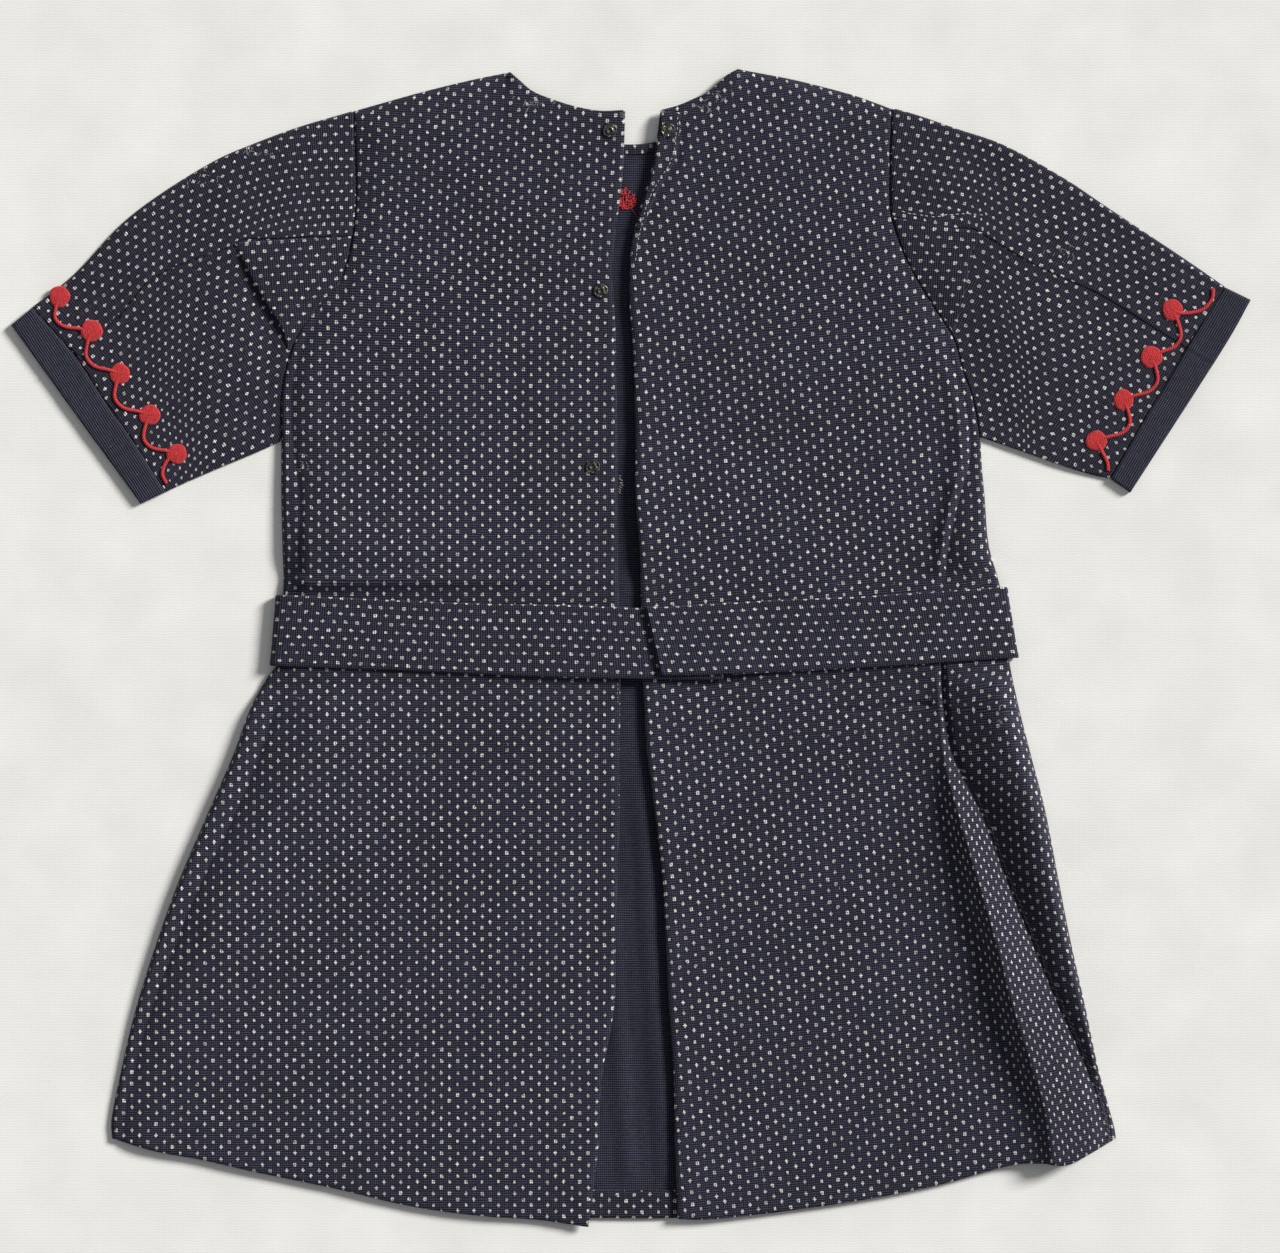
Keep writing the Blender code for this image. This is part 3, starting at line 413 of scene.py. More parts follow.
def cloth_material(name, dye, with_flecks, rib_share, fading, fibres):
    """Navy cotton. The last three numbers say how much ribs, fading and fibres show."""
    material, tree, shader = new_material(name)
    cloth = grain_in_millimetres(tree)
    rib = use_group(tree, ribs, Cloth=cloth, Unevenness=0.55)
    age = use_group(tree, worn, Cloth=cloth, Fading=fading, Fibres=fibres)
    light = calc(tree, "SUBTRACT", rib["Light"], EVEN_LIGHT)
    light = calc(tree, "MULTIPLY_ADD", light, rib_share, EVEN_LIGHT)
    colour = tinted(tree, dye, calc(tree, "MULTIPLY", light, age["Light"]))
    colour = blend(tree, calc(tree, "MULTIPLY", age["Fibre"], 0.5), colour, FIBRE_GREY)
    height = rib["Height"]
    if with_flecks:
        fleck = use_group(tree, flecks, Cloth=cloth)
        colour = tinted(tree, colour, calc(tree, "MULTIPLY_ADD", fleck["Column"], 0.28, 0.94))
        # painted shade round each fleck
        colour = blend(tree, calc(tree, "MULTIPLY", fleck["Painted rim shade"], 0.50), colour, PAINTED_RIM_SHADE)
        cream = blend(tree, calc(tree, "MULTIPLY", rib["Gap"], 0.4), CREAM, CREAM_IN_GAPS)
        colour = blend(tree, calc(tree, "MULTIPLY", fleck["Fleck"], 0.95), colour, cream)
        height = calc(tree, "MULTIPLY_ADD", fleck["Fleck"], 0.5, height)
    feed(tree, shader.inputs["Base Color"], colour)
    feed(tree, shader.inputs["Roughness"], calc(tree, "MULTIPLY_ADD", rib["Gap"], 0.1, 0.84))
    shader.inputs["Specular IOR Level"].default_value = 0.25
    shader.inputs["Sheen Weight"].default_value = 0.06
    shader.inputs["Sheen Roughness"].default_value = 0.5
    add_relief(tree, shader, height, 0.7, 0.0002)
    return material


NAVY = (0.0253, 0.0246, 0.0464)
# the sleeves' darker dye; the same cloth is painted shade on the front's turnings
SLEEVE_AND_SHADE_NAVY = (0.0224, 0.0212, 0.0396)
INSIDE_NAVY = (0.0205, 0.0225, 0.0390)
CUFF_NAVY = (0.029, 0.031, 0.050)
face_cloth = cloth_material("navy_fleck_cloth", NAVY, True, 1.0, 0.6, 0.35)
sleeve_and_shade_cloth = cloth_material("navy_fleck_sleeve_and_painted_shade_cloth", SLEEVE_AND_SHADE_NAVY, True, 1.0, 0.6, 0.45)
inside_cloth = cloth_material("plain_inside_cloth", INSIDE_NAVY, False, 1.1, 0.7, 0.3)
cuff_cloth = cloth_material("plain_cuff_cloth", CUFF_NAVY, False, 1.0, 0.5, 0.8)
# the sleeves' darker cloth is also painted shade on the front's neck and hem turnings
FACE_UP, SLEEVE_AND_SHADE_FACE_UP = [face_cloth, inside_cloth], [sleeve_and_shade_cloth, inside_cloth]
for material in (face_cloth, sleeve_and_shade_cloth, inside_cloth, cuff_cloth):
    print(material.name, "has", len(material.node_tree.nodes), "nodes")

# %% [markdown]
# ## Thread
#
# Embroidery cotton is several fine plies twisted together. The UV map "grain" of a thread holds
# the distance along it and round it, and slanting stripes of light and dark make the twist.

# %% Node group for twisted plies
twist, given, result = new_group(
    "twisted_plies", [("Thread", VECTOR, None), ("Pitch", VALUE, 1.2)],
    [("Light", VALUE), ("Height", VALUE)])
step = partial(calc, twist)
parts = place(twist, "ShaderNodeSeparateXYZ")
feed(twist, parts.inputs[0], given["Thread"])
turns = step("DIVIDE", parts.outputs["Y"], given["Pitch"])
turns = step("MULTIPLY_ADD", parts.outputs["X"], 0.8, turns)
ply_wave = step("COSINE", step("MULTIPLY", turns, 2 * math.pi))
ply = step("MULTIPLY_ADD", ply_wave, 0.5, 0.5)
fuzz = noise(twist, given["Thread"], 2.4, 3.0)
ply_light = step("MULTIPLY_ADD", ply, 0.4, 0.7)
fuzz_light = step("MULTIPLY_ADD", fuzz, 0.8, 0.6)
feed(twist, result["Light"], step("MULTIPLY", ply_light, fuzz_light))
feed(twist, result["Height"], step("MULTIPLY_ADD", fuzz, 0.6, ply))
print("twisted_plies:", len(twist.nodes), "nodes")


# %% Thread materials
def thread_material(name, dye, pale, pitch):
    """Thread of one dye, with paler fibres standing off it. pitch is one turn of its twist."""
    material, tree, shader = new_material(name)
    thread = grain_in_millimetres(tree)
    plies = use_group(tree, twist, Thread=thread, Pitch=pitch)
    fuzz = remap(tree, noise(tree, thread, 1.7, 3.0), 0.52, 0.72)
    colour = tinted(tree, dye, plies["Light"])
    colour = blend(tree, calc(tree, "MULTIPLY", fuzz, 0.35), colour, pale)
    feed(tree, shader.inputs["Base Color"], colour)
    feed(tree, shader.inputs["Roughness"], calc(tree, "MULTIPLY_ADD", plies["Light"], 0.1, 0.62))
    shader.inputs["Sheen Weight"].default_value = 0.15
    shader.inputs["Specular IOR Level"].default_value = 0.3
    add_relief(tree, shader, plies["Height"], 0.7, 0.00015)
    return material


THREADS = {
    # dye, colour of the fibres that stand off it, pitch
    "red_embroidery_cotton": ((0.62, 0.028, 0.034), (0.80, 0.20, 0.20, 1.0), 0.9),
    "undyed_sewing_thread": ((0.55, 0.54, 0.52), (0.75, 0.74, 0.72, 1.0), 0.5),
    # painted shadow: a black thread that draws the dark line of a seam's shadow
    "painted_seam_shadow_thread": ((0.003, 0.003, 0.005), (0.014, 0.014, 0.018, 1.0), 0.6),
    "navy_sewing_thread": ((0.020, 0.020, 0.030), (0.12, 0.12, 0.14, 1.0), 0.5),
}
red_thread, pale_thread, seam_shadow_thread, dark_thread = [
    thread_material(name, *values) for name, values in THREADS.items()]
print("thread materials:", ", ".join(THREADS))

# %% [markdown]
# ## Press stud metal
#
# The studs are blackened brass. Handling has rubbed the black off here and there, so a mask of
# noise lets olive brass show through, and the bare metal is smoother than the blackening.

# %% Stud material
BLACKENED = (0.060, 0.066, 0.068, 1.0)
OLIVE_BRASS = (0.36, 0.34, 0.22, 1.0)
GRIME = (0.012, 0.013, 0.014, 1.0)

stud_metal, tree, shader = new_material("blackened_brass")
here = place(tree, "ShaderNodeTexCoord").outputs["Object"]
rubbed = remap(tree, noise(tree, here, 900.0, 3.0), 0.50, 0.66)
grime = remap(tree, noise(tree, here, 2600.0, 2.0), 0.58, 0.74)
colour = blend(tree, rubbed, BLACKENED, OLIVE_BRASS)
colour = blend(tree, calc(tree, "MULTIPLY", grime, 0.6), colour, GRIME)
feed(tree, shader.inputs["Base Color"], colour)
feed(tree, shader.inputs["Roughness"], calc(tree, "MULTIPLY_ADD", rubbed, -0.16, 0.46))
shader.inputs["Metallic"].default_value = 0.85
add_relief(tree, shader, grime, 0.35, 0.0001)
print("stud material:", stud_metal.name)

# %% [markdown]
# ## The floor
#
# The dress lies on a pale, slightly mottled canvas. Its relief is the same ribbed weave as the
# cloth's, finer and less even. The floor belongs to the stage and isn't a piece of the dress.

# %% Floor
FLOOR_PALE = (0.850, 0.842, 0.815)
CANVAS_SCALE = (1100.0, 1500.0, 1000.0)
FLOOR_HALF = 2.5       # half the floor's width, in metres
FLOOR_DROP = 0.0002    # the floor lies this much lower than the cloth's underside

floor_material, tree, shader = new_material("pale_canvas_floor")
here = place(tree, "ShaderNodeTexCoord").outputs["Object"]
canvas = place(tree, "ShaderNodeMapping")
feed(tree, canvas.inputs["Vector"], here)
canvas.inputs["Scale"].default_value = CANVAS_SCALE
mottle = calc(tree, "MULTIPLY_ADD", noise(tree, here, 24.0, 4.0), 0.22, -0.11)
mottle = calc(tree, "ADD", mottle, 0.98)
tone = calc(tree, "MULTIPLY_ADD", noise(tree, here, 3.0, 2.0), 0.04, mottle)
feed(tree, shader.inputs["Base Color"], tinted(tree, FLOOR_PALE, tone))
shader.inputs["Roughness"].default_value = 0.9
threads_of_floor = use_group(tree, ribs, Cloth=canvas.outputs[0], Unevenness=1.5)
add_relief(tree, shader, threads_of_floor["Height"], 0.20, 0.0003)

corners = [(x * FLOOR_HALF, y * FLOOR_HALF, -FLOOR_DROP)
           for x, y in ((-1, -1), (1, -1), (1, 1), (-1, 1))]
floor_mesh = bpy.data.meshes.new("floor")
floor_mesh.from_pydata(corners, [], [(0, 1, 2, 3)])
floor_mesh.materials.append(floor_material)
floor = bpy.data.objects.new("floor", floor_mesh)
scene.collection.objects.link(floor)
print("the floor is", 2 * FLOOR_HALF, "m wide")

# %% [markdown]
# ## Lines and curves
#
# A pattern cutter draws a garment with a few points and a curve through them. Tables of points do
# the same here: through() reads a smooth curve through a table, and Line walks along a drawn edge
# by its share of the length. Both work on whole arrays, which keeps thousands of points quick.


# %% Curve helpers
def smooth(t):
    """0 below 0, 1 above 1, with a soft start and end."""
    t = np.clip(t, 0.0, 1.0)
    return t * t * (3.0 - 2.0 * t)


def round_edge(t):
    """A quarter circle: 0 at 0, steep there, and level from 1 on."""
    return np.sqrt(1 - (1 - np.clip(t, 0.0, 1.0)) ** 2)


def through(rows, at, column=1):
    """Values on a smooth curve through one column of a table."""
    pairs = sorted((row[0], row[column]) for row in rows)
    xs, ys = (np.array(v, float) for v in zip(*pairs))
    slope = np.empty(len(xs))
    slope[1:-1] = (ys[2:] - ys[:-2]) / (xs[2:] - xs[:-2])
    slope[0] = (ys[1] - ys[0]) / (xs[1] - xs[0])
    slope[-1] = (ys[-1] - ys[-2]) / (xs[-1] - xs[-2])
    at = np.clip(at, xs[0], xs[-1])
    k = np.clip(np.searchsorted(xs, at, side="right") - 1, 0, len(xs) - 2)
    step = xs[k + 1] - xs[k]
    t = (at - xs[k]) / step
    return ((2 * t ** 3 - 3 * t ** 2 + 1) * ys[k] + (t ** 3 - 2 * t ** 2 + t) * step * slope[k]
            + (3 * t ** 2 - 2 * t ** 3) * ys[k + 1] + (t ** 3 - t ** 2) * step * slope[k + 1])


class Line:
    """A smooth curve through points, read by the share of its length."""

    def __init__(self, points):
        points = [np.array(p, float) for p in points]
        padded = [2 * points[0] - points[1]] + points + [2 * points[-1] - points[-2]]
        dense = []
        for p0, p1, p2, p3 in zip(padded, padded[1:], padded[2:], padded[3:]):
            for t in np.arange(16) / 16:
                dense.append(0.5 * (2 * p1 + (p2 - p0) * t + (2 * p0 - 5 * p1 + 4 * p2 - p3) * t * t
                                    + (3 * p1 - p0 - 3 * p2 + p3) * t ** 3))
        self.dense = np.array(dense + [points[-1]])
        steps = np.linalg.norm(np.diff(self.dense, axis=0), axis=1)
        self.at = np.concatenate([[0.0], np.cumsum(steps)])
        self.length = self.at[-1]

    def __call__(self, share):
        """The point at a share of the length, or one point for each of many shares."""
        far = np.asarray(share) * self.length
        return np.stack([np.interp(far, self.at, self.dense[:, n])
                         for n in range(self.dense.shape[1])], axis=-1)

    def distance(self, x, y):
        """Distance from plan points to this line, and the share of its length there."""
        shares = np.linspace(0, 1, 90)
        spots = self(shares)[:, :2]
        gaps = np.hypot(np.asarray(x)[..., None] - spots[:, 0],
                        np.asarray(y)[..., None] - spots[:, 1])
        nearest = gaps.argmin(-1)
        return gaps.min(-1), shares[nearest]


def ripples(x, y, size, seed):
    """Soft random waves between -1 and 1, about size millimetres long."""
    table = np.random.RandomState(seed).uniform(-1, 1, (64, 64))
    u, v = np.asarray(x) / size, np.asarray(y) / size
    i, j = np.floor(u).astype(int), np.floor(v).astype(int)
    fu, fv = smooth(u - i), smooth(v - j)
    i0, i1, j0, j1 = i % 64, (i + 1) % 64, j % 64, (j + 1) % 64
    near = table[i0, j0] * (1 - fu) + table[i1, j0] * fu
    far = table[i0, j1] * (1 - fu) + table[i1, j1] * fu
    return near * (1 - fv) + far * fv


print("curve helpers are ready")

# %% [markdown]
# ## The cut of the dress
#
# These tables are the dress's own lines, as it lies: how far each panel reaches at each height,
# where the folds run and how high they stand. A back's row gives y, the centre edge, the crest of
# the long fold, its valley, the side edge, the height of the crest, the height of the strip
# between valley and side, and how far the centre edge gapes.

# %% Tables for the backs
BACK_COLUMNS = ("y", "edge", "crest", "fold", "side", "ridge", "rim", "gape")
RIGHT_BACK = [
    (302, 16.9, 134, 140, 146.8, 0, 0, 0.4),
    (272, 12.6, 133, 139, 145.6, 0, 0, 0.6),
    (245, 4.8, 134, 140, 146.2, 0, 0, 0.8),
    (226, 0.5, 139.5, 145.5, 151.8, 0, 0, 1),
    (208, -0.6, 148.5, 154.5, 160.8, 0, 0, 1.2),
    (192, -0.5, 158, 164, 170.4, 0, 0, 1.3),
    (174, 1.1, 170, 176, 181.6, 0.2, 0.1, 1.4),
    (158, 1.9, 175, 181, 186.1, 0.6, 0.3, 1.4),
    (140, 2.3, 181, 187, 192.3, 1.4, 0.5, 1.4),
    (121, 2.8, 184.5, 190.5, 195.7, 2.4, 0.8, 1.3),
    (103, 2.8, 184.6, 190, 196.8, 3.2, 1.6, 2.2),
    (84, 2.8, 179.8, 184.5, 198.5, 4, 3, 1.8),
    (58, 5, 174.6, 178.5, 200.7, 4.8, 4.4, 1.4),
    (34, 5.6, 172.6, 176, 207, 5, 5, 1.2),
    (-6, 6.4, 171.4, 173.6, 212, 3, 5, 0.8),
    (-33, 7.6, 173.2, 175.2, 217.6, 3.2, 13.5, 0.8),
    (-60, 9.4, 175.6, 180.2, 224.4, 6.4, 14.5, 0.8),
    (-91, 13.4, 182.8, 196, 232.4, 12, 14.5, 0.8),
    (-131, 18.2, 194.6, 211.5, 240.1, 14.8, 13, 0.8),
    (-164, 19.8, 204.2, 225, 246.6, 15.2, 10.4, 0.8),
    (-200, 21.4, 213.6, 240, 254.6, 15, 7.4, 0.8),
    (-236, 24, 225, 256, 262.2, 12.4, 3.4, 0.8),
    (-258, 24.5, 231.6, 263.5, 268.2, 10, 1.2, 0.6),
    (-275.5, 24.8, 235, 267, 272.2, 9, 0.8, 0.6),
    (-321, 26.4, 239, 268, 272.2, 8, 0.8, 0.6),
]
LEFT_BACK = [
    (302, -3.6, -139, -149, -155.8, 0, 0, 0),
    (272, -4.6, -138.5, -148.5, -154.8, 0, 0, 0),
    (250, -6.8, -138.5, -148.5, -154.6, 0, 0, 0),
    (227, -9.8, -141, -151, -157.4, 0, 0, 0),
    (208, -10.8, -147, -157, -163.1, 0.2, 0.2, 0),
    (195, -10.1, -157, -167, -173.8, 0.5, 0.4, 0),
    (180.5, -9.2, -169, -179, -185, 0.8, 0.6, 0),
    (165, -8.8, -175, -186, -191.7, 1, 0.8, 0),
    (144, -8.4, -178, -190.5, -196.2, 1.4, 1, 0),
    (116, -8.2, -175, -190, -196.2, 2, 1.6, 0),
    (84, -7.9, -168, -186, -196.2, 2.8, 2.4, 0),
    (58, -7.6, -164, -185.8, -195.6, 3.6, 2.8, 0),
    (32, -7.3, -162, -185.6, -195, 3.8, 3, 0),
    (-9, -6.3, -164, -190, -198.2, 3.8, 3.2, 0),
    (-16, -6.2, -166, -192.5, -203.6, 3.8, 3.4, 0),
    (-33, -6.3, -172, -199.8, -213.1, 4.2, 4, 0),
    (-60, -6.5, -184, -209, -223.2, 4.4, 4.4, 0),
    (-95, -6.8, -202, -223.5, -238.4, 4.2, 4.4, 0),
    (-132, -8.1, -224, -242, -254.2, 3.6, 3.8, 0),
    (-168, -9, -241, -256.5, -267.1, 2.8, 3, 0),
    (-204, -10.1, -256, -270, -278.3, 1.8, 2, 0),
    (-240, -16.6, -267, -280, -286.8, 1, 1.2, 0),
    (-266, -18, -272, -285.5, -291.8, 0.8, 0.8, 0.2),
    (-275.5, -18.2, -272, -285.5, -291.4, 0.8, 0.6, 0.4),
    (-311, -22.4, -272, -285.5, -290.7, 0.8, 0.6, 0.4),
    (-325, -24.2, -272, -285.5, -290.7, 0.8, 0.6, 0.4),
]
print("rows in the backs' tables:", len(RIGHT_BACK), "and", len(LEFT_BACK))

# %% Tables for the edges that run across
RIGHT_NECK = [(16.9, 302), (25.3, 304.2), (34.9, 308.1), (43.9, 312.6), (49.5, 317.4),
              (54.5, 322), (60.2, 325)]
RIGHT_SHOULDER = [(60.2, 325), (90, 319.4), (108.5, 314.9), (125, 310.4), (137.8, 305.9),
                  (146.8, 302.5)]
LEFT_NECK = [(-68, 323.3), (-63.5, 319.4), (-55.7, 312.8), (-44.4, 308.1), (-30.9, 303.9),
             (-17.4, 301.6), (-3.6, 302)]
LEFT_SHOULDER = [(-155.8, 301.4), (-140, 305.9), (-115.8, 312.6), (-89.4, 319), (-68, 323.3)]
LEFT_HEM = [(-290.7, -275.5), (-268.2, -282.3), (-241.2, -287.3), (-214.2, -293.5),
            (-187.2, -299.1), (-160.3, -304.8), (-133.3, -311.4), (-106.3, -316.2),
            (-79.3, -319.2), (-52.3, -321), (-24.2, -325)]
RIGHT_HEM = [(26.4, -320.5), (42.2, -320.9), (69.2, -318.3), (96.2, -314.9), (123.1, -311),
             (150.1, -306.2), (177.1, -300.3), (204.1, -292.6), (217.6, -289.8), (231.1, -289.2),
             (244.6, -290), (258.1, -283.4), (272.2, -275.5)]
FRONT_NECK = [(-68, 323.3), (-62, 308), (-49, 295), (-28, 286.2), (-3.4, 282.8),
              (14.6, 284.4), (36, 291.5), (52, 306), (60.2, 325)]
FRONT_HEM = [(-290.7, -275.5), (-241.2, -286.3), (-187.2, -298.1), (-133.3, -310.4),
             (-79.3, -317.2), (-24.2, -319.8), (26.4, -319.9), (96.2, -313.9), (150.1, -305.2),
             (204.1, -291.8), (244.6, -285), (272.2, -275.5)]
BELT_LEFT_UPPER = [(-195.9, 29.8), (-96.2, 25.3), (-39.9, 24.2), (6.7, 22.4), (48, 21.5)]
BELT_LEFT_LOWER = [(-199.2, -10.1), (-96.2, -14.1), (-39.9, -16.6), (20, -17.6), (52, -17.8)]
BELT_RIGHT_UPPER = [(7.9, 23.1), (24.7, 23.6), (72.5, 26.4), (140, 29.6), (207.8, 34.3)]
BELT_RIGHT_LOWER = [(16.6, -15.4), (24.7, -15.5), (72.5, -14.1), (140, -10.6), (214.4, -5.6)]
print("the dress is", round(RIGHT_NECK[-1][1] - LEFT_HEM[-1][1]), "mm long")

# %% [markdown]
# ## Creases
#
# Besides the two long folds the cloth has short creases and dents: the tuck that the belt pulls
# under its edge, the furrow beside the turned corner, the hollow where the bodice meets the fold,
# the furrow where the left back dips to the belt. Each is a line of points with a depth and a
# width, sunk into the height of its back.

# %% Tables for the creases
CREASES = {
    # depth, width, points along the line
    "right": [
        (1.5, 1.4, [(116.4, -34.9), (131, -35.4), (140.6, -33.7), (156.3, -31.5), (173, -32.8)]),
        (1.9, 1.3, [(29.6, 297), (28.6, 289), (26, 274), (19.6, 262.5), (14.8, 254),
                    (10.6, 244), (6.6, 231)]),
        (1.6, 5, [(178, 92), (173, 78), (169, 64), (168, 46)]),
        (0.8, 3.2, [(176.5, 62), (176, 45), (174.5, 34)]),
        (0.35, 4, [(52, 150), (60, 90), (58, 45)]),
        (0.35, 5, [(120, 190), (128, 120), (122, 60)]),
    ],
    "left": [
        (0.7, 1.6, [(-187, 44), (-178, 39), (-166, 36.5)]),
        (1.1, 2.8, [(-198, 29.6), (-150, 27), (-96.2, 24.6), (-39.9, 23.5), (8, 21.8)]),
        (0.45, 5, [(-60, 180), (-68, 110), (-62, 50)]),
        (0.45, 6, [(-118, 210), (-126, 120), (-120, 50)]),
        (0.5, 7, [(-70, -30), (-84, -140), (-96, -280)]),
    ],
}
print("creases:", {side: len(rows) for side, rows in CREASES.items()})

# %% [markdown]
# ## How high the cloth lies
#
# Everything rests on something: the front on the floor, the backs on the front, the belt round all
# of it. The belt passes under the front, so both layers climb over it. Between seams and belt the
# backs stand up in the folds that the tables describe, and small ripples run over the whole.
# A back's height is a sum of such parts, each worked out for all its points at once.

# %% Heights
CLOTH = 1.2            # thickness that a layer takes up
GAP = 0.3
BACK_REST = 3.0        # underside of the backs where they lie on the front
SEAM_BAND = 15.0
BELT_CLOTH = 1.6
BELT_RAMP = 12.0
BELT_MARGIN = 2.0
CINCH = 26.0           # how far from the belt the folds are still held down
CINCH_RIGHT = 13.0
STEEP_SHARE = 0.52     # share of the right fold's height that drops away at once beside its crest
STEEP_REACH = 0.95     # both reaches are in fold heights
TAIL_REACH = 3.2
RIM_PEAK = 0.80        # where the strip beside the fold is highest, as a share of its width
SLOT_DEPTH = 2.3       # the narrow slot beside the pleat under the belt
SIDE_ROLL = 3.4        # strip in which a back's edge turns down to the seam
ARMPIT_Y = 118.0
POUCH = {1.0: (2.0, 11.0), -1.0: (0.6, 7.0)}    # right and left: gap above the belt, rise


def belt_lines(x):
    """y of the belt's upper and lower edge where it runs under the front."""
    left_upper, left_lower = BELT_LEFT_UPPER[0], BELT_LEFT_LOWER[0]
    right_upper, right_lower = BELT_RIGHT_UPPER[-1], BELT_RIGHT_LOWER[-1]
    t = (x - left_upper[0]) / (right_upper[0] - left_upper[0])
    return (left_upper[1] + t * (right_upper[1] - left_upper[1]),
            left_lower[1] + t * (right_lower[1] - left_lower[1]))


def over_belt(x, y):
    """How much the belt beneath lifts a panel."""
    upper, lower = belt_lines(x)
    outside = np.maximum(y - upper, lower - y) - BELT_MARGIN
    return (BELT_CLOTH + GAP) * smooth(1.0 - outside / BELT_RAMP)


def loose(x, y, reach=CINCH):
    """0 where the belt holds the folds flat, 1 well away from it."""
    upper, lower = belt_lines(x)
    outside = np.maximum(y - upper, lower - y) - 3.0
    return smooth(outside / reach)


def blouse(x, y, amount, foot, rise):
    """The soft pouch of cloth just above the belt."""
    far = y - belt_lines(x)[0] - foot
    return amount * smooth(far / rise) * (1.0 - smooth((far - 16.0) / 70.0))


def back_top(table, neck, shoulder, seed, creases):
    """Height of a back's upper face over the plan."""
    hand = 1.0 if table[0][4] > 0 else -1.0
    levels = np.arange(-326.0, 327.0, 0.5)
    furrows = [(depth, wide, Line(points)) for depth, wide, points in creases]
    sampled = {name: through(table, levels, n) for n, name in enumerate(BACK_COLUMNS) if n}

    def read(name, y):
        return np.interp(y, levels, sampled[name])

    def height(x, y):
        # the seams at side and shoulder hold the cloth down
        to_side = hand * (read("side", y) - x)
        past_neck = hand * x > abs(neck[-1][0] if hand > 0 else neck[0][0])
        to_shoulder = np.where(past_neck, through(shoulder, x) - y, SEAM_BAND)
        to_seam = np.minimum(to_side, to_shoulder)
        inside = smooth(to_seam / SEAM_BAND)
        seam = CLOTH + GAP
        base = seam + (BACK_REST - seam) * inside + over_belt(x, y) + CLOTH
        turn = 1.5 * (1 - round_edge(to_seam / SIDE_ROLL))

        # the long fold: up from its valley to its crest, then down towards the middle
        width = np.maximum(hand * (read("fold", y) - read("crest", y)), 1.0)
        away = hand * (read("fold", y) - x)
        share = np.clip(away / width, 0.0, 1.0)
        rise = 0.45 * round_edge(share) + 0.55 * share
        past = np.maximum(away - width, 0.0)
        if hand > 0:
            high = np.maximum(read("ridge", y), 1.0)
            steep = 1 - np.sin(0.5 * math.pi * np.clip(past / (STEEP_REACH * high), 0, 1))
            tail = 2 * (1 - smooth(0.5 + 0.5 * past / (TAIL_REACH * high + 4.0)))
            drop = STEEP_SHARE * smooth((high - 4.0) / 8.0)
            fall = drop * steep + (1 - drop) * tail
        else:
            steep = np.exp(-(np.hypot(past, 1.0) - 1.0) / (0.16 * width + 3.0))
            fall = 0.25 * steep + 0.75 * (1 - smooth(past / (2.2 * width + 40.0)))
        ridge = read("ridge", y) * np.where(away > 0, np.where(past > 0, fall, rise), 0.0)

        # the strip between the valley and the side
        strip = np.maximum(hand * (read("side", y) - read("fold", y)), 1.0)
        out = np.clip(-away / strip, 0.0, 1.0)
        climb = np.clip(out / RIM_PEAK, 0.0, 1.0)
        climb = 0.35 * np.sin(0.5 * math.pi * climb) + 0.65 * climb
        roll = np.sqrt(np.clip(1 - ((out - RIM_PEAK) / (1 - RIM_PEAK)) ** 2, 0.0, 1.0))
        rim = read("rim", y) * np.where(out < RIM_PEAK, climb, roll)

        # the slot under the belt on the right, and the creases
        under_belt = belt_lines(x)[1] - y
        slot = np.where(hand > 0, SLOT_DEPTH, 0.0) * smooth(under_belt / 2.0 + 1)
        slot = slot * (1 - smooth((under_belt - 30) / 40))
        slot = slot * smooth(-away / 0.8) * (1 - smooth((-away - 2.2) / 1.8))
        for depth, wide, line in furrows:
            off_line, share = line.distance(x, y)
            ends = smooth(share / 0.12) * smooth((1 - share) / 0.12)
            slot = slot + depth * np.exp(-(off_line / wide) ** 2) * ends

        # the gaping centre edge, the ripples and the pouch above the belt
        from_edge = hand * (x - read("edge", y))
        gape = read("gape", y) * (1 - smooth(from_edge / 30))
        waves = 0.42 * ripples(x, y, 46.0, seed) + 0.16 * ripples(x, y, 17.0, seed + 1)
        waves = waves + 0.10 * ripples(x + 0.4 * y, y, 8.0, seed + 2)
        right_pouch = 1.6 - 0.4 * np.clip(x / 180, 0, 1)
        left_pouch = 1.6 + 3.8 * smooth(-x / 170)
        amount = np.where(hand > 0, right_pouch, left_pouch)
        pouch = blouse(x, y, amount, *POUCH[hand]) * smooth(to_side / 14.0)

        folds = (ridge + rim) * (loose(x, y, CINCH_RIGHT) if hand > 0 else loose(x, y))
        return base + folds + (gape + waves * inside) * loose(x, y) + pouch - turn - slot

    height.read = read
    height.hand = hand
    return height


right_top = back_top(RIGHT_BACK, RIGHT_NECK, RIGHT_SHOULDER, 11, CREASES["right"])
left_top = back_top(LEFT_BACK, LEFT_NECK, LEFT_SHOULDER, 23, CREASES["left"])
crest_height = float(right_top(np.array(203.0), np.array(-148.0)))
print("the right fold's crest stands", round(crest_height, 1), "mm high")

# %% [markdown]
# ## Where each thread lies
#
# A fold seen from above squeezes the pattern together, because more cloth is in it than shows.
# cloth_grain() walks over a piece's grid and adds up true distances on the surface, turned by the
# angle of the grain. What it returns becomes the UV map, so the flecks crowd on a slope as they
# do in the photograph.


# %% The grain's UV map
def surface_slope(x, y, z):
    """Slope of a height over the plan, at each point of a grid."""
    xj, xi = np.gradient(x)
    yj, yi = np.gradient(y)
    zj, zi = np.gradient(z)
    area = xi * yj - xj * yi
    area = np.where(np.abs(area) < 1e-6, 1e-6, area)
    return (zi * yj - zj * yi) / area, (xi * zj - xj * zi) / area


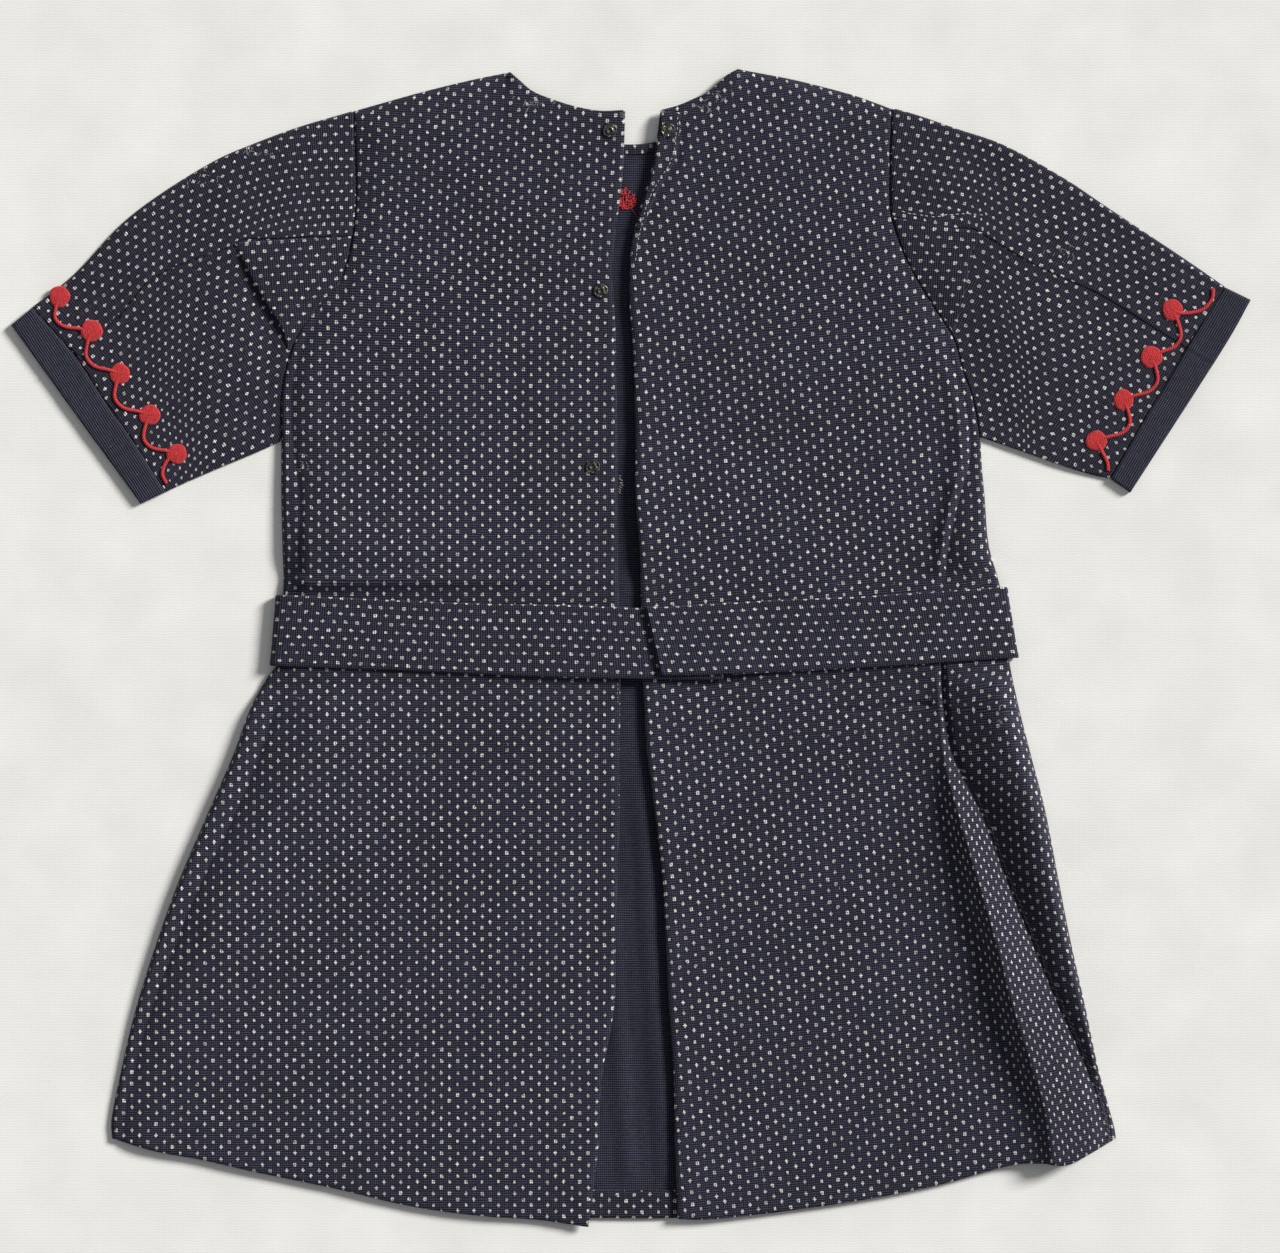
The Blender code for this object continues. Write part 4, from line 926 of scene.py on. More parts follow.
def cloth_grain(x, y, z, angle, gathered=0.0):
    """Distances along and across the threads, in millimetres, from the first column. gathered is
    the share of cloth that lies in finer folds than the mesh has."""
    sx, sy = surface_slope(x, y, z)
    steep2 = sx * sx + sy * sy
    extra = (np.sqrt(1 + np.minimum(steep2, 16.0)) - 1) / np.maximum(steep2, 1e-9)
    txx, txy, tyy = extra * sx * sx + gathered, extra * sx * sy, extra * sy * sy
    cos, sin = np.cos(angle) + 0 * x, np.sin(angle) + 0 * x

    def walk(take):
        dx, dy = take(x, 1) - take(x, 0), take(y, 1) - take(y, 0)
        mean = [0.5 * (take(m, 0) + take(m, 1)) for m in (txx, txy, tyy, cos, sin)]
        ex = dx * (1 + mean[0]) + dy * mean[1]
        ey = dx * mean[1] + dy * (1 + mean[2])
        return ex * mean[3] + ey * mean[4], ey * mean[3] - ex * mean[4]

    down_u, down_v = walk(lambda m, k: m[k:len(m) - 1 + k, 0])
    row_u, row_v = walk(lambda m, k: m[:, k:m.shape[1] - 1 + k])
    u, v = np.zeros_like(x), np.zeros_like(x)
    u[1:, 0], v[1:, 0] = np.cumsum(down_u), np.cumsum(down_v)
    u[:, 1:] = u[:, :1] + np.cumsum(row_u, axis=1)
    v[:, 1:] = v[:, :1] + np.cumsum(row_v, axis=1)
    return u, v


print("cloth_grain is ready")

# %% [markdown]
# ## Sewing a sheet of cloth
#
# Each panel is a thin closed shell: an upper face, an underside a cloth's thickness below, and a
# rounded edge between them. Closed shells look right from every side, and their edges catch the
# light as a turned edge does. The first material is the face, the second the inside.


# %% Mesh builders
def finish_mesh(name, points, faces, uvs, slots, materials):
    """Points and UVs in millimetres, one UV for each point, one material number for each face."""
    mesh = bpy.data.meshes.new(name)
    mesh.from_pydata((np.asarray(points) * MM).tolist(), [], faces)
    layer = mesh.uv_layers.new(name="grain")
    corner_points = np.empty(len(mesh.loops), dtype=np.int64)
    mesh.loops.foreach_get("vertex_index", corner_points)
    layer.data.foreach_set("uv", (np.asarray(uvs)[corner_points] * MM).astype(np.float32).ravel())
    for material in materials:
        mesh.materials.append(material)
    mesh.polygons.foreach_set("material_index", np.asarray(slots, dtype=np.int32))
    mesh.shade_smooth()
    mesh.update()
    piece = bpy.data.objects.new(name, mesh)
    scene.collection.objects.link(piece)
    return piece


def rim_of(rows, columns):
    """Grid places round the edge, in order."""
    ring = [(0, i) for i in range(columns)] + [(j, columns - 1) for j in range(1, rows)]
    ring += [(rows - 1, i) for i in reversed(range(columns - 1))]
    return ring + [(j, 0) for j in reversed(range(1, rows - 1))]


EDGE_OUT = 0.35        # how far a sheet's rounded edge stands out


def shell(name, x, y, top, thickness, materials, angle=0.0, grain=None):
    """A closed thin shell over a grid of plan points."""
    rows, columns = x.shape
    count = rows * columns
    u, v = cloth_grain(x, y, top, angle) if grain is None else grain
    low = top - thickness
    ring = rim_of(rows, columns)
    flat_ring = np.array([j * columns + i for j, i in ring])
    ring_x, ring_y = x.ravel()[flat_ring], y.ravel()[flat_ring]
    ring_z = (0.5 * (top + low)).ravel()[flat_ring]
    along_x = np.roll(ring_x, -1) - np.roll(ring_x, 1)
    along_y = np.roll(ring_y, -1) - np.roll(ring_y, 1)
    size = np.maximum(np.hypot(along_x, along_y), 1e-9)
    turning = np.sum(ring_x * np.roll(ring_y, -1) - np.roll(ring_x, -1) * ring_y)
    side = (1.0 if turning > 0 else -1.0) * EDGE_OUT
    ring_points = np.stack([ring_x + side * along_y / size,
                            ring_y - side * along_x / size, ring_z], 1)
    upper = np.stack([x.ravel(), y.ravel(), top.ravel()], 1)
    under = np.stack([x.ravel(), y.ravel(), low.ravel()], 1)
    points = np.concatenate([upper, under, ring_points])
    grain_uv = np.stack([u.ravel(), v.ravel()], 1)
    uvs = np.concatenate([grain_uv, grain_uv, grain_uv[flat_ring] + 0.6])
    index = np.arange(count).reshape(rows, columns)
    a, b, c, d = index[:-1, :-1], index[:-1, 1:], index[1:, 1:], index[1:, :-1]
    quads = np.stack([a, d, c, b], -1).reshape(-1, 4)
    east_x, east_y = x[0, -1] - x[0, 0], y[0, -1] - y[0, 0]
    if east_x * (y[-1, 0] - y[0, 0]) - (x[-1, 0] - x[0, 0]) * east_y > 0:
        quads = quads[:, ::-1]
    faces = quads.tolist() + (quads[:, ::-1] + count).tolist()
    slots = [0] * len(quads) + [1] * len(quads)
    first = 2 * count
    for k in range(len(ring)):
        n = (k + 1) % len(ring)
        p, q = flat_ring[k], flat_ring[n]
        pair = [(p, q, first + n, first + k), (first + k, first + n, q + count, p + count)]
        if turning > 0:
            pair = [face[::-1] for face in pair]
        faces += pair
        slots += [0, 0]
    return finish_mesh(name, points, faces, uvs, slots, materials)


print("mesh builders are ready")

# %% [markdown]
# ## Laying out a panel
#
# A panel's grid follows the cloth. Rails run down it from the top edge to the hem: the centre
# edge, the line below the neck corner, both sides of the long fold and the side seam. Columns are
# spread between the rails, closest where the cloth turns most, and every row is cut off exactly
# at the neck, the shoulder and the hem.

# %% Panel grids
ROW_STOPS = (70, 30, 9, 15, 9, 34, 96)    # rows between one stop and the next, down the panel
SKIRT_TOP_Y = -60.0
HEM_RAIL = 86.0        # where the line from the neck corner meets the hem


def panel_grid(rails, counts, tops, hem_edge):
    """Plan points of a panel. rails are functions x(y), tops the edge over each stretch."""
    fine_x, fine_y = [], []
    for k, (west, east, count, top_edge) in enumerate(zip(rails, rails[1:], counts, tops)):
        for step in range(0 if k == 0 else 1, count + 1):
            share = step / count

            def at(y, west=west, east=east, share=share):
                return (1 - share) * west(y) + share * east(y)

            top, hem = top_edge[0][1], hem_edge[0][1]
            for _ in range(12):
                top, hem = float(through(top_edge, at(top))), float(through(hem_edge, at(hem)))
            upper, lower = belt_lines(float(at(0.0)))
            stops = [top, ARMPIT_Y, upper + BELT_MARGIN + BELT_RAMP, upper + BELT_MARGIN,
                     lower - BELT_MARGIN, lower - BELT_MARGIN - BELT_RAMP, SKIRT_TOP_Y, hem]
            levels = [np.array([top])]
            for start, end, number in zip(stops, stops[1:], ROW_STOPS):
                levels.append(start + (end - start) * np.arange(1, number + 1) / number)
            levels = np.concatenate(levels)
            fine_y.append(levels)
            fine_x.append(at(levels))
    return np.array(fine_x).T, np.array(fine_y).T


def back_grid(top, neck, shoulder, hem):
    """Plan points of a back."""
    hand, read = top.hand, top.read
    neck_x = neck[-1][0] if hand > 0 else neck[0][0]
    hem_x = hand * HEM_RAIL

    def before_crest(y):
        width = read("fold", y) - read("crest", y)
        return read("crest", y) - hand * (0.55 * hand * width + 6.0)

    rails = [lambda y: read("edge", y),
             lambda y: neck_x + (hem_x - neck_x) * smooth((300.0 - y) / 600.0),
             before_crest,
             lambda y: read("crest", y),
             lambda y: read("fold", y),
             lambda y: read("fold", y) + 0.15 * (read("side", y) - read("fold", y)),
             lambda y: 0.45 * read("fold", y) + 0.55 * read("side", y),
             lambda y: read("side", y) - hand * SIDE_ROLL * 0.6,
             lambda y: read("side", y)]
    counts = [22, 34, 10, 12, 8, 5, 6, 3]
    return panel_grid(rails, counts, [neck] + [shoulder] * 7, hem)


print("rows in a panel:", sum(ROW_STOPS) + 1)

# %% [markdown]
# ## The two backs
#
# Each back is one piece of cloth from shoulder to hem, with its centre edge turned under. The right
# one was cut or pulled a few degrees off the straight grain, so its rows of flecks climb to the
# right. The left one is straight, apart from its shoulder.

# %% Backs
SHEET_THICKNESS = 1.0
TURNING_THICKNESS = 0.9
EDGE_BEAD = 0.35       # a turned edge is doubled cloth, so it stands a little proud
EDGE_BEAD_WIDTH = 6.5
FOLD_GATHER = 0.80     # how much more cloth lies in the right fold than its mesh shows


def turned_edge(top, x, y):
    """The doubled cloth along a centre edge."""
    from_edge = top.hand * (x - top.read("edge", y))
    return EDGE_BEAD * (1 - smooth((from_edge - EDGE_BEAD_WIDTH) / 1.2))


x, y = back_grid(right_top, RIGHT_NECK, RIGHT_SHOULDER, RIGHT_HEM)
z = right_top(x, y) + turned_edge(right_top, x, y)
grain_angle = np.radians(5.0 + 3.0 * smooth((y - 120.0) / 160.0))
past_crest = right_top.read("crest", y) - x
past_fold = x - right_top.read("fold", y)
gathered = FOLD_GATHER * smooth((-52.0 - y) / 50.0) * smooth((14.0 - past_crest) / 10.0)
gathered = gathered * (1 - smooth((past_fold - 3.0) / 6.0))
in_fold, beside_it = cloth_grain(x, y, z, grain_angle, gathered), cloth_grain(x, y, z, grain_angle)
beyond = smooth((past_fold - 0.6) / 2.4)       # the pleat takes the gathered cloth back underneath
grain = [a * (1 - beyond) + b * beyond for a, b in zip(in_fold, beside_it)]
back_right = shell("cloth_back_right", x, y, z, SHEET_THICKNESS, FACE_UP, grain=grain)
print("cloth_back_right:", len(back_right.data.polygons), "faces")

x, y = back_grid(left_top, LEFT_NECK, LEFT_SHOULDER, LEFT_HEM)
z = left_top(x, y) + turned_edge(left_top, x, y)
grain_angle = np.radians(-3.6 * smooth((y - 120.0) / 150.0)) + 0 * x
back_left = shell("cloth_back_left", x, y, z, SHEET_THICKNESS, FACE_UP, math.pi + grain_angle)
print("cloth_back_left:", len(back_left.data.polygons), "faces")

# %% [markdown]
# ## The front
#
# Only its inside shows, down the open centre, so its upper face is the plain reverse and its
# underside the flecked one. Long soft folds run down it where the skirt is wide. Its neck and
# hem are turned in: two strips that show the flecks again, in the sleeves' darker cloth, which
# stands there for painted shade.

# %% Front
FRONT_INSET = 3.6      # how far inside the backs' side edges the front ends
FRONT_LEAST = 1.02     # lowest height of its upper face, so that it stays above the floor


def front_top(x, y):
    """Height of the front's upper face."""
    slit = np.exp(-((x - 4.0) / 26.0) ** 2)
    drape = 0.85 * np.sin((x + 0.05 * y) / 3.4 + 1.2 * ripples(x, y, 70.0, 5))
    drape = drape * smooth((-40.0 - y) / 80.0) + 0.3 * ripples(x, y, 16.0, 6)
    ends = smooth((y + 306.0) / 14.0) * smooth((282.0 - y) / 20.0)
    lie = CLOTH + over_belt(x, y) + (0.3 + drape) * slit * ends * loose(x, y)
    return np.maximum(lie, FRONT_LEAST)


def straight_rail(across):
    """A rail straight down the panel at one x."""
    return lambda y: 0.0 * y + across


rails = [lambda y: left_top.read("side", y) + FRONT_INSET, straight_rail(LEFT_SHOULDER[-1][0]),
         straight_rail(-26.0), straight_rail(32.0), straight_rail(RIGHT_SHOULDER[0][0]),
         lambda y: right_top.read("side", y) - FRONT_INSET]
front_tops = [LEFT_SHOULDER, FRONT_NECK, FRONT_NECK, FRONT_NECK, RIGHT_SHOULDER]
x, y = panel_grid(rails, [26, 14, 40, 10, 24], front_tops, FRONT_HEM)
front = shell("cloth_front", x, y, front_top(x, y), SHEET_THICKNESS, [inside_cloth, face_cloth])
print("cloth_front:", len(front.data.polygons), "faces")

# %% Turnings of the front's neck and hem
NECK_TURNING = 4.8
HEM_TURNING = 15.0


def strip_grid(inner, outer, shares):
    """A grid between two lines of points, at some shares of the way across."""
    across = shares[None, :, None]
    grid = inner[:, None, :] * (1 - across) + outer[:, None, :] * across
    return grid[..., 0], grid[..., 1]


neck_line = Line(FRONT_NECK[1:-1])(np.linspace(0, 1, 91))
tangent = np.gradient(neck_line, axis=0)
tangent /= np.linalg.norm(tangent, axis=1)[:, None]
downward = np.stack([tangent[:, 1], -tangent[:, 0]], 1)
shares = np.linspace(0, 1, 7)
x, y = strip_grid(neck_line + 0.2 * downward, neck_line + (NECK_TURNING + 0.2) * downward, shares)
z = 2.6 - 0.35 * smooth((shares - 0.55) / 0.3) + 0 * x
# painted shade: the neck turning wears the sleeves' darker cloth
neck_turning = shell("cloth_front_neck_turning", x, y, z, TURNING_THICKNESS, SLEEVE_AND_SHADE_FACE_UP)

hem_x = np.linspace(-264.0, 246.0, 181)
hem_line = np.stack([hem_x, through(FRONT_HEM, hem_x)], 1)
upper_line = np.stack([hem_x * 0.99, hem_line[:, 1] + HEM_TURNING], 1)
x, y = strip_grid(hem_line, upper_line, np.linspace(0, 1, 9))
z = 2.55 + 0.12 * ripples(x, y, 14.0, 9)
# painted shade: the hem turning wears the sleeves' darker cloth
hem_turning = shell("cloth_front_hem_turning", x, y, z, TURNING_THICKNESS, SLEEVE_AND_SHADE_FACE_UP)
print("turnings:", neck_turning.name, hem_turning.name)

# %% [markdown]
# ## The turned corner
#
# At the neck the right back's edge facing has been turned outwards. It shows as a narrow strip
# with a free sewn edge, half a press stud on it, and a dark shadow along its inner side.

# %% Turned corner
# y, outer edge, inner edge
TURNED_CORNER = [(300.4, 17.7, 27.6), (290.0, 16.2, 26.9), (274.0, 13.8, 24.0),
                 (262.0, 11.0, 17.2), (248.0, 6.8, 11.0), (236.0, 3.4, 6.4)]
levels = np.linspace(300.4, 236.0, 46)
outer = np.stack([through(TURNED_CORNER, levels, 1), levels], 1)
inner = np.stack([through(TURNED_CORNER, levels, 2), levels], 1)
shares = np.linspace(0, 1, 11)
x, y = strip_grid(outer, inner, shares)


def corner_top(x, y):
    """Height of the turned corner's upper face."""
    return right_top(x, y) + CLOTH + 2 * GAP + EDGE_BEAD


z = corner_top(x, y) + 0.35 * smooth((shares - 0.6) / 0.4)
turned_corner = shell("cloth_turned_corner", x, y, z, TURNING_THICKNESS, FACE_UP, math.radians(6))
print("cloth_turned_corner:", len(turned_corner.data.polygons), "faces")

# %% [markdown]
# ## Sleeves
#
# A set-in sleeve is a tube, here pressed flat: an under layer on the floor, two folded edges and
# an upper layer. A lapped seam runs along it from the armhole to the cuff, and a pleat falls
# from that seam beside the armhole. The tube is the sleeve's main cloth. The cloth above the
# lapped seam and the pleat are sheets of their own that lie on it, so that both have real edges.

# %% Tables for the sleeves
SLEEVES = {
    "left": dict(
        upper=[(-156.1, 301.6), (-187.2, 292.4), (-214.2, 282.3), (-234.5, 273.3), (-263.7, 255.3),
               (-286.8, 237.3), (-312.1, 210.3), (-336.3, 191.2)],
        lower=[(-196.5, 116.4), (-208.6, 110.8), (-228.9, 102.3), (-249.7, 93.3), (-261.5, 87.7)],
        cuff_inner=[(-336.3, 191.2), (-313.8, 165.9), (-296.9, 140.6), (-280, 116.6),
                    (-261.5, 87.7)],
        cuff_outer=[(-348.35, 181.6), (-312, 131), (-275.5, 81)], cuff_seam=(-312.6, 165.6),
        seam=[(-157, 231.9), (-182.7, 231.4), (-203, 230.5), (-214.2, 230.5), (-221, 228.9),
              (-225.5, 225.5), (-236.7, 222.1), (-252.5, 216.5), (-261.5, 212.6), (-272.7, 205.8),
              (-281.7, 195.7), (-293, 183.3), (-311, 164.6)],
        pleat=[(-222.5, 227.4), (-211.4, 205.8), (-202, 190), (-196.2, 180.5), (-192.6, 168.6)],
        pleat_armhole=[(-157.6, 231), (-163.4, 207), (-174.2, 194.4), (-185.4, 180),
                       (-192, 167.4)],
        grain=[(-340, 41), (-290, 39), (-250, 27), (-225, 23), (-190, 8),
               (-157, -1)], main_grain=(40, 31), pleat_lift=1.7, welt=0.40, swell=1.3),
    "right": dict(
        upper=[(147.1, 303.2), (161.4, 299.1), (183.9, 291.3), (209.7, 282.3), (242.4, 264.3),
               (269.3, 246.3), (309.8, 219.3), (333.4, 203)],
        lower=[(196, 121.5), (222.1, 111.3), (245.2, 102.3), (269.3, 95)],
        cuff_inner=[(333.4, 203), (313.8, 171.5), (302, 151), (287.9, 127.8), (269.3, 95)],
        cuff_outer=[(348.35, 195.7), (331.6, 166.4), (280.6, 87.3)], cuff_seam=(321.6, 162.4),
        seam=[(147, 243.5), (151.3, 241.8), (168.1, 235.6), (182.7, 236.2), (192, 236),
              (201.9, 230.5), (214.2, 222.7), (226.6, 215.9), (241.2, 209.2), (263.7, 199.1),
              (289.6, 183.3), (311.6, 169.6)],
        pleat=[(198, 233), (191.8, 222.8), (187.8, 203), (184.6, 190), (181.4, 179.6)],
        pleat_armhole=[(148, 241.6), (153.4, 224), (162, 206.6), (171.4, 191.6), (180.4, 178.4)],
        grain=[(147, -9), (190, -14), (212, -28), (260, -29), (340, -32)],
        main_grain=(-32, -26), pleat_lift=0.8, welt=0.12, swell=0),
}
print("sleeve tables:", ", ".join(SLEEVES))

# %% Sleeve helpers
SLEEVE_TOP = 3.0
SLEEVE_PUFF = 2.0
PUFF_END = 0.76
LAP = 0.55             # thickness of the cloth above the lapped seam
EDGE_TURN = 1.3        # radius with which the flattened tube turns at its folded edges
EDGE_SHARES = (0.0, 0.0012, 0.0035, 0.0075)
TUBE_WALL = 0.8
LAP_THICKNESS = 0.5


def tube_shares(count):
    """Shares across a flattened tube, closest at its two folded edges."""
    middle = np.linspace(0.014, 0.986, count)
    return np.concatenate([EDGE_SHARES, middle, 1 - np.array(EDGE_SHARES[::-1])])


def patch(head, tail, upper, lower, shares, stations):
    """A Coons patch: rows from head to tail, each from the upper to the lower edge."""
    u, v = np.asarray(shares)[None, :, None], np.asarray(stations)[:, None, None]
    head_line, tail_line = head(shares)[None], tail(shares)[None]
    upper_line, lower_line = upper(stations)[:, None], lower(stations)[:, None]
    corners = ((1 - u) * (1 - v) * head_line[:, :1] + u * (1 - v) * head_line[:, -1:]
               + (1 - u) * v * tail_line[:, :1] + u * v * tail_line[:, -1:])
    return (1 - v) * head_line + v * tail_line + (1 - u) * upper_line + u * lower_line - corners


def sleeve_height(u, v):
    """Height of the sleeve's upper face: u across from the upper edge, v towards the cuff."""
    flat = 2 * CLOTH + GAP
    full = np.sin(math.pi * np.clip(v / PUFF_END, 0.0, 1.0))
    relief = SLEEVE_PUFF * np.sin(math.pi * u)
    return flat + (SLEEVE_TOP - flat) * smooth(v / 0.3) + relief * full


def flat_tube(name, grid, top, floor_z, wall, materials, grain):
    """A tube pressed flat: rings of an upper and an under layer, outside and inside."""
    stations, across = grid.shape[:2]
    middle = 0.5 * (top[:, :1] + floor_z)
    line = np.linalg.norm(np.diff(grid, axis=1), axis=2)
    near = np.concatenate([np.zeros((stations, 1)), np.cumsum(line, axis=1)], axis=1)
    edge = np.minimum(near, near[:, -1:] - near)
    rounding = round_edge(edge / EDGE_TURN)
    upper_z = middle + (top - middle) * rounding
    lower_z = middle + (floor_z - middle) * rounding
    inward = np.clip(edge, wall, None) - edge
    toward = np.gradient(grid, axis=1)
    toward /= np.maximum(np.linalg.norm(toward, axis=2), 1e-9)[..., None]
    sign = np.where(near < 0.5 * near[:, -1:], 1.0, -1.0)
    inner = grid + toward * (sign * inward)[..., None]
    inner_up = np.maximum(upper_z - wall * rounding, middle + 0.02 * rounding)
    inner_down = np.minimum(lower_z + wall * rounding, middle - 0.02 * rounding)

    def ring(plan, up, down):
        over = np.concatenate([plan, up[..., None]], 2)
        under = np.concatenate([plan, down[..., None]], 2)[:, -2:0:-1]
        return np.concatenate([over, under], 1)

    outside, inside = ring(grid, upper_z, lower_z), ring(inner, inner_up, inner_down)
    size = outside.shape[1]
    points = np.concatenate([outside.reshape(-1, 3), inside.reshape(-1, 3)])
    u, v = grain
    back_u, back_v = u[:, -2:0:-1], v[:, -2:0:-1]
    uv = np.stack([np.concatenate([u, 2 * u[:, -1:] - back_u], 1),
                   np.concatenate([v, back_v], 1)], -1).reshape(-1, 2)
    index = np.arange(stations * size).reshape(stations, size)
    a, b = index[:-1], np.roll(index, -1, axis=1)[:-1]
    c, d = np.roll(index, -1, axis=1)[1:], index[1:]
    walls = np.stack([a, b, c, d], -1).reshape(-1, 4)
    count = stations * size
    first_row = np.stack([index[0], index[0] + count, np.roll(index[0], -1) + count,
                          np.roll(index[0], -1)], -1)
    last_row = np.stack([index[-1], np.roll(index[-1], -1), np.roll(index[-1], -1) + count,
                         index[-1] + count], -1)
    step = np.cross(outside[0, 6] - outside[0, 5], outside[1, 5] - outside[0, 5])
    groups = [walls, walls[:, ::-1] + count, first_row, last_row]
    if step[2] < 0:
        groups = [g[:, ::-1] for g in groups]
    faces = [face for g in groups for face in g.tolist()]
    slots = [0] * len(walls) + [1] * len(walls) + [0] * (2 * size)
    return finish_mesh(name, points, faces, np.concatenate([uv, uv]), slots, materials)


print("the flattened tube turns over", EDGE_TURN, "mm at its folded edges")

# %% [markdown]
# Both sleeves are laid out first: their lines, a grid over the plan, and two heights. One is the
# whole upper face, the other the tube's own, which lies lower under the lapped cloth, dips beside
# the pleat and swells a little just below the lapped seam.

# %% Laying out a sleeve
SLEEVE_SHARES = tube_shares(112)
SLEEVE_STATIONS = np.linspace(0, 1, 113)


def armhole_line(top, tip):
    """The armhole, down from the shoulder tip, moved out by the seam's gap."""
    levels = tip[1] + (ARMPIT_Y - tip[1]) * np.linspace(0, 1, 40)
    return Line(list(zip(top.read("side", levels) + top.hand * GAP, levels)))


def lay_out_sleeve(side, top, tip):
    """A sleeve's lines, grid and heights."""
    cut = SLEEVES[side]
    head, lower_edge = armhole_line(top, tip), Line(cut["lower"])
    head.dense[0], head.dense[-1] = cut["upper"][0], cut["lower"][0]
    cuff_line, upper_edge = Line(cut["cuff_inner"]), Line(cut["upper"])
    grid = patch(head, cuff_line, upper_edge, lower_edge, SLEEVE_SHARES, SLEEVE_STATIONS)
    x, y = grid[..., 0], grid[..., 1]
    u = np.broadcast_to(SLEEVE_SHARES, x.shape)
    v = np.broadcast_to(SLEEVE_STATIONS[:, None], x.shape)
    waves = 0.40 * ripples(x, y, 34.0, 31) + 0.18 * ripples(x, y, 12.0, 32)
    quiet = smooth(np.minimum(u, 1 - u) / 0.08) * smooth(v / 0.1) * smooth((1 - v) / 0.12)
    face = sleeve_height(u, v) + waves * quiet

    seam, pleat = Line(cut["seam"]), Line(cut["pleat"])
    pleat_gap, pleat_share = pleat.distance(x, y)
    dip = cut["pleat_lift"] * np.exp(-(pleat_gap / 16.0) ** 2) * smooth(1.6 * pleat_share + 0.1)
    seam_gap, seam_share = seam.distance(x, y)
    start, end = upper_edge(SLEEVE_STATIONS), seam(SLEEVE_STATIONS)
    from_edge = np.linalg.norm(grid - start[:, None], axis=2)
    below_seam = from_edge > np.linalg.norm(end - start, axis=1)[:, None]
    swell = cut["swell"] * np.exp(-((seam_gap - 3.2) / 1.6) ** 2)
    swell = swell * smooth((seam_share - 0.25) / 0.15) * below_seam
    main = np.maximum(face - LAP - dip * quiet + swell * quiet, 2.2)
    return SimpleNamespace(side=side, cut=cut, hand=top.hand, quarter_turn=0.5 * math.pi * top.hand,
                           cuff_line=cuff_line, upper_edge=upper_edge, seam=seam, pleat=pleat,
                           grid=grid, face=face, main=main)


def lift_from(plan, heights, x, y):
    """Heights over a sleeve's grid, read at other plan points from the six nearest ones."""
    grid_points, values = plan.grid.reshape(-1, 2), heights.ravel()
    out = np.empty(x.size)
    for k, (px, py) in enumerate(zip(x.ravel(), y.ravel())):
        gaps = (grid_points[:, 0] - px) ** 2 + (grid_points[:, 1] - py) ** 2
        close = np.argpartition(gaps, 6)[:6]
        weight = 1.0 / (gaps[close] + 0.3)
        out[k] = (weight * values[close]).sum() / weight.sum()
    return out.reshape(x.shape)


print("a sleeve's grid has", len(SLEEVE_SHARES), "columns and", len(SLEEVE_STATIONS), "rows")


# %% The sleeve's main cloth
def sleeve_tube(plan):
    """The whole sleeve as a flattened tube. Its grain turns with the fold at the armhole."""
    x, y = plan.grid[..., 0], plan.grid[..., 1]
    least, most = sorted(plan.cut["main_grain"])
    angle = np.radians(np.clip(through(plan.cut["grain"], x), least, most)) + plan.quarter_turn
    return flat_tube(f"cloth_sleeve_{plan.side}", plan.grid, plan.main, 0.0, TUBE_WALL,
                     SLEEVE_AND_SHADE_FACE_UP, cloth_grain(x, y, plan.main, angle))


# %% The cloth above the lapped seam
LAP_SHARES = np.concatenate([[0.0, 0.006, 0.016], np.linspace(0.035, 0.97, 30), [0.985, 1.0]])


def cloth_above_seam(plan):
    """From the upper edge to the lapped seam, with a welt and a stitched line along the seam."""
    start, end = plan.upper_edge(SLEEVE_STATIONS), plan.seam(SLEEVE_STATIONS)
    x, y = strip_grid(start, end, LAP_SHARES)
    width = np.linalg.norm(end - start, axis=1)[:, None]
    across, to_seam = LAP_SHARES * width, (1 - LAP_SHARES) * width
    stitched = (0.2 + 0.5 * plan.cut["welt"]) * np.exp(-((to_seam - 6.1) / 0.6) ** 2)
    welt = plan.cut["welt"] * (1 - smooth((to_seam - 5.6) / 1.0))
    edge_drop = 1.7 * (1 - round_edge(across / 1.5))
    z = lift_from(plan, plan.face - LAP, x, y) + 0.45 + welt - stitched - edge_drop
    angle = np.radians(through(plan.cut["grain"], x)) + plan.quarter_turn
    return shell(f"cloth_sleeve_{plan.side}_above_seam", x, y, z, LAP_THICKNESS, SLEEVE_AND_SHADE_FACE_UP,
                 angle)


# %% The pleat beside the armhole
PLEAT_SHARES = np.linspace(0, 1, 17)


def sleeve_pleat(plan):
    """A triangle of cloth from the armhole to the pleat's edge, which stands up a little."""
    steps = np.linspace(0, 1, 34)
    x, y = strip_grid(Line(plan.cut["pleat_armhole"])(steps), plan.pleat(steps), PLEAT_SHARES)
    beneath = np.maximum(lift_from(plan, plan.main, x, y), lift_from(plan, plan.face - LAP, x, y))
    ends = (smooth(steps / 0.25) * smooth((1 - steps) / 0.2))[:, None]
    raise_edge = plan.cut["pleat_lift"] * smooth(PLEAT_SHARES / 0.9) * ends
    angle = math.radians(-4.0 * plan.hand) + plan.quarter_turn
    return shell(f"cloth_sleeve_{plan.side}_pleat", x, y, beneath + 0.62 + 0.5 * raise_edge,
                 LAP_THICKNESS, SLEEVE_AND_SHADE_FACE_UP, angle)


# %% The turned-up cuff
CUFF_TOP = 3.9
CUFF_WALL = 1.1
CUFF_ROLL = 0.75       # how far the cuff's two long edges turn down
CUFF_SHARES = np.concatenate([[0.0, 0.03, 0.08], np.linspace(0.15, 0.85, 8), [0.92, 0.97, 1.0]])


